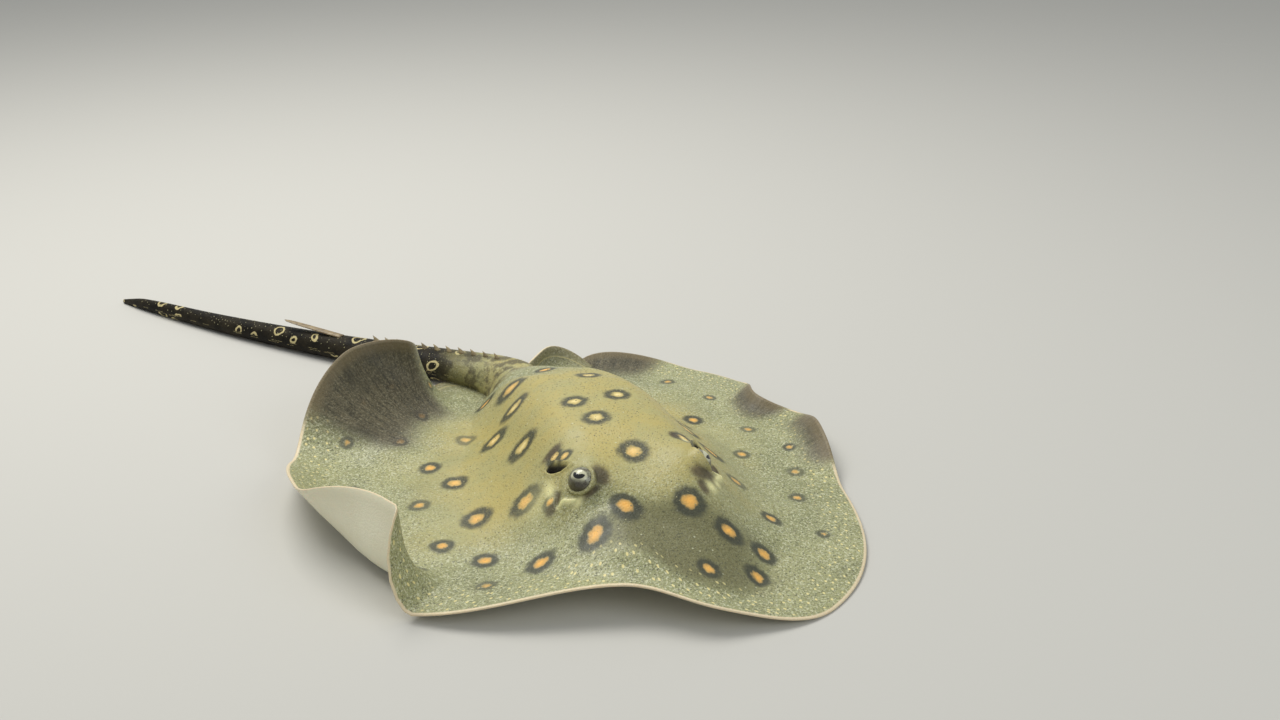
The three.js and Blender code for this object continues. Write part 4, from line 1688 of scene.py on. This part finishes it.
def eye_material():
    """A half-moon pupil in a silver ring, on a mottled grey eyeball."""
    material, web, shader = new_material("eye")
    place = web.node("ShaderNodeTexCoord").outputs["Object"]
    local = web.attribute("eye_place", "Vector")
    u, v, w = web.node("ShaderNodeSeparateXYZ", {0: local}).outputs
    jag = drifting(web, local, 9.0, 3.0, 0.10)
    front = web.math("GREATER_THAN", w, 0.0)
    pupil = pupil_mask(web, u, v, front)
    ring_reach = web.math("ADD", oval_reach(web, u, v, 0.03, 0.60, 0.46), jag)
    ring = web.ramp(ring_reach, 0.86, 1.06, 1.0, 0.0)
    silver = both(web, ring, web.ramp(v, -0.34, -0.08, 0.25, 1.0), front)
    grey = uneven(web, place, EYE_GREY, EYE_PALE, 420.0, 0.9)
    specks = speckle(web, place, 900.0, 0.6, 0.46)
    grey = web.mix(both(web, specks, 0.85), grey, EYE_RIM)
    grey = web.mix(web.ramp(web.math("ADD", v, jag), -0.7, 0.1, 0.8, 0.0), grey, EYE_RIM)
    off = web.math("ADD", oval_reach(web, u, v, 0.0, 1.0, 1.0), jag)
    colour = web.mix(web.ramp(off, 0.72, 0.98), grey, EYE_RIM)
    colour = web.mix(both(web, silver, 0.95), colour, EYE_SILVER)
    web.join(web.mix(pupil, colour, EYE_PUPIL), shader["Base Color"])
    web.join(web.ramp(pupil, 0.0, 1.0, 0.34, 0.12), shader["Roughness"])
    web.join(bumped(web, both(web, specks, 0.0001), 0.4), shader["Normal"])
    shader["IOR"].default_value = 1.38
    shader["Coat Weight"].default_value = 0.7
    shader["Coat Roughness"].default_value = 0.08
    return material


def hard_material(name, colours, roughness, speck_share):
    """Thorn, denticle and sting: dense, slightly glossy and unevenly stained."""
    material, web, shader = new_material(name)
    clean, stain = colours
    place = web.node("ShaderNodeTexCoord").outputs["Object"]
    stained = uneven(web, place, clean, stain, 240.0, 0.7)
    specks = speckle(web, place, 900.0, speck_share, 0.4)
    web.join(web.mix(both(web, specks, 0.5), stained, stain), shader["Base Color"])
    worn = web.ramp(web.noise(place, 400.0, 2.0), 0.3, 0.7, roughness - 0.08, roughness + 0.1)
    web.join(worn, shader["Roughness"])
    pores = grain(web, place, 1600.0, 500.0, 0.6)
    web.join(bumped(web, both(web, pores, 0.0001), 0.5), shader["Normal"])
    return material


def floor_material():
    material, _, shader = new_material("pale_floor")
    shader["Base Color"].default_value = FLOOR_PALE
    shader["Roughness"].default_value = 0.85
    return material


# ------------------------------------------------------------------ camera, light and floor

# In metres, degrees and the lens's millimetres.
CAMERA = {"place": (-0.2757, -0.8940, 0.488), "down": 23, "heading": 19, "lens": 42.19, "sensor": 36}


def set_camera():
    data = bpy.data.cameras.new("camera")
    data.sensor_width = CAMERA["sensor"]
    data.lens = CAMERA["lens"]
    data.clip_start = 0.01
    camera = bpy.data.objects.new("camera", data)
    camera.location = CAMERA["place"]
    camera.rotation_euler = (math.radians(90 - CAMERA["down"]), 0, -math.radians(CAMERA["heading"]))
    bpy.context.scene.collection.objects.link(camera)
    bpy.context.scene.camera = camera


def area_light(name, place, target, size, power, colour):
    data = bpy.data.lights.new(name, "AREA")
    data.shape = "RECTANGLE"
    data.size, data.size_y = size
    data.energy = power
    data.color = colour
    light = bpy.data.objects.new(name, data)
    light.location = place
    light.rotation_euler = (Vector(target) - Vector(place)).to_track_quat("-Z", "Y").to_euler()
    bpy.context.scene.collection.objects.link(light)


def set_lights():
    area_light("key", (-0.35, 0.75, 1.5), (0, 0, 0), (1.3, 0.9), 26, (1.0, 0.985, 0.94))
    area_light("fill", (0.9, -1.5, 1.2), (0, 0, 0), (1.4, 1.0), 9, (0.92, 0.97, 1.0))
    world = bpy.data.worlds.new("studio")
    bpy.context.scene.world = world
    world.use_nodes = True
    sky = world.node_tree.nodes["Background"]
    sky.inputs["Color"].default_value = (0.86, 0.89, 0.90, 1)
    sky.inputs["Strength"].default_value = 0.55


def set_view():
    """Colours as they are, without a film look."""
    bpy.context.scene.view_settings.view_transform = "Standard"


def make_floor():
    corners = [(-5000, -5000, 0), (5000, -5000, 0), (5000, 7000, 0), (-5000, 7000, 0)]
    floor = mesh_object("floor", corners, [(0, 1, 2, 3)])
    floor.data.materials.append(floor_material())


# ------------------------------------------------------------------ the whole model

FLESH = (
    "head",
    "trunk",
    "left_wing_front",
    "left_wing_rear",
    "right_wing_front",
    "right_wing_rear",
    "left_pelvic_fin",
    "right_pelvic_fin",
    "tail_base",
    "tail_middle",
    "tail_tip",
)
SKIN = skin_material()
THORN = hard_material("tail_thorn", THORN_COLOURS, 0.42, 0.2)
DENTICLE = hard_material("denticle", DENTICLE_COLOURS, 0.45, 0.3)
BONE = hard_material("sting_bone", BONE_COLOURS, 0.4, 0.3)
EYE_FINISH = eye_material()


def finished(piece, slot, *replaced, material=None):
    """Gives a piece its finish and its body, and hides the parts of model.glb that it stands for."""
    if material is not None:
        piece.data.materials.clear()
        piece.data.materials.append(material)
    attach(piece, "root")
    if replaced:
        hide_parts(*replaced)
    return piece


def make_thorns(rows):
    """The row of thorns along the top of the tail."""
    thorn = spike("thorn_item", THORNS["radius"], THORNS["height"], THORNS["lean"])
    ridge = path_mesh("ridge", tail_ridge(THORNS["from"], THORNS["to"]))
    values = {
        "Item": thorn,
        "Count": THORNS["count"],
        "First Size": 0.85,
        "Last Size": 1.0,
        "Material": THORN,
    }
    finished(grown("tail_thorns", rows, ridge, values), "tail_skin")
    bpy.data.objects.remove(thorn)


def sting_edge(side, count=30):
    """The line along one edge of the sting, just inside it."""
    edge = []
    for i in range(count):
        share = HOOKS["from"] + (HOOKS["to"] - HOOKS["from"]) * i / (count - 1)
        middle, heading = sting_place(share)
        out = side * (sting_half_width(share) - HOOKS["inset"])
        edge.append(middle + Vector((math.cos(heading) * out, math.sin(heading) * out, 0)))
    return edge


def make_hooks(rows, label, side):
    """The hooks down one edge of the sting."""
    hook = barb("hook_item", side)
    values = {
        "Item": hook,
        "Count": HOOKS["count"],
        "First Size": 0.8,
        "Last Size": 0.7,
        "Material": BONE,
    }
    finished(grown(f"sting_hooks_{label}", rows, path_mesh("edge", sting_edge(side)), values), "sting")
    bpy.data.objects.remove(hook)


def make_denticles(skin):
    """The small hard points scattered over the back."""
    item = spike("denticle_item", DENTICLES["radius"], DENTICLES["height"], DENTICLES["lean"], 6, 2)
    values = {"Item": item, "Material": DENTICLE}
    finished(grown("denticles", scatter_tree(), skin.data, values), "skin")
    bpy.data.objects.remove(item)


SKIN_PIECE = finished(make_skin(), "skin", *FLESH, material=SKIN)
finished(make_eye("eye_left", 1, GAZES["left"]), "eye", "left_eye", material=EYE_FINISH)
finished(make_eye("eye_right", -1, GAZES["right"]), "eye", "right_eye", material=EYE_FINISH)
finished(make_sting(), "sting", "sting", material=BONE)
ROWS = row_tree()
make_thorns(ROWS)
make_hooks(ROWS, "left", 1)
make_hooks(ROWS, "right", -1)
make_denticles(SKIN_PIECE)
set_camera()
set_lights()
set_view()
make_floor()
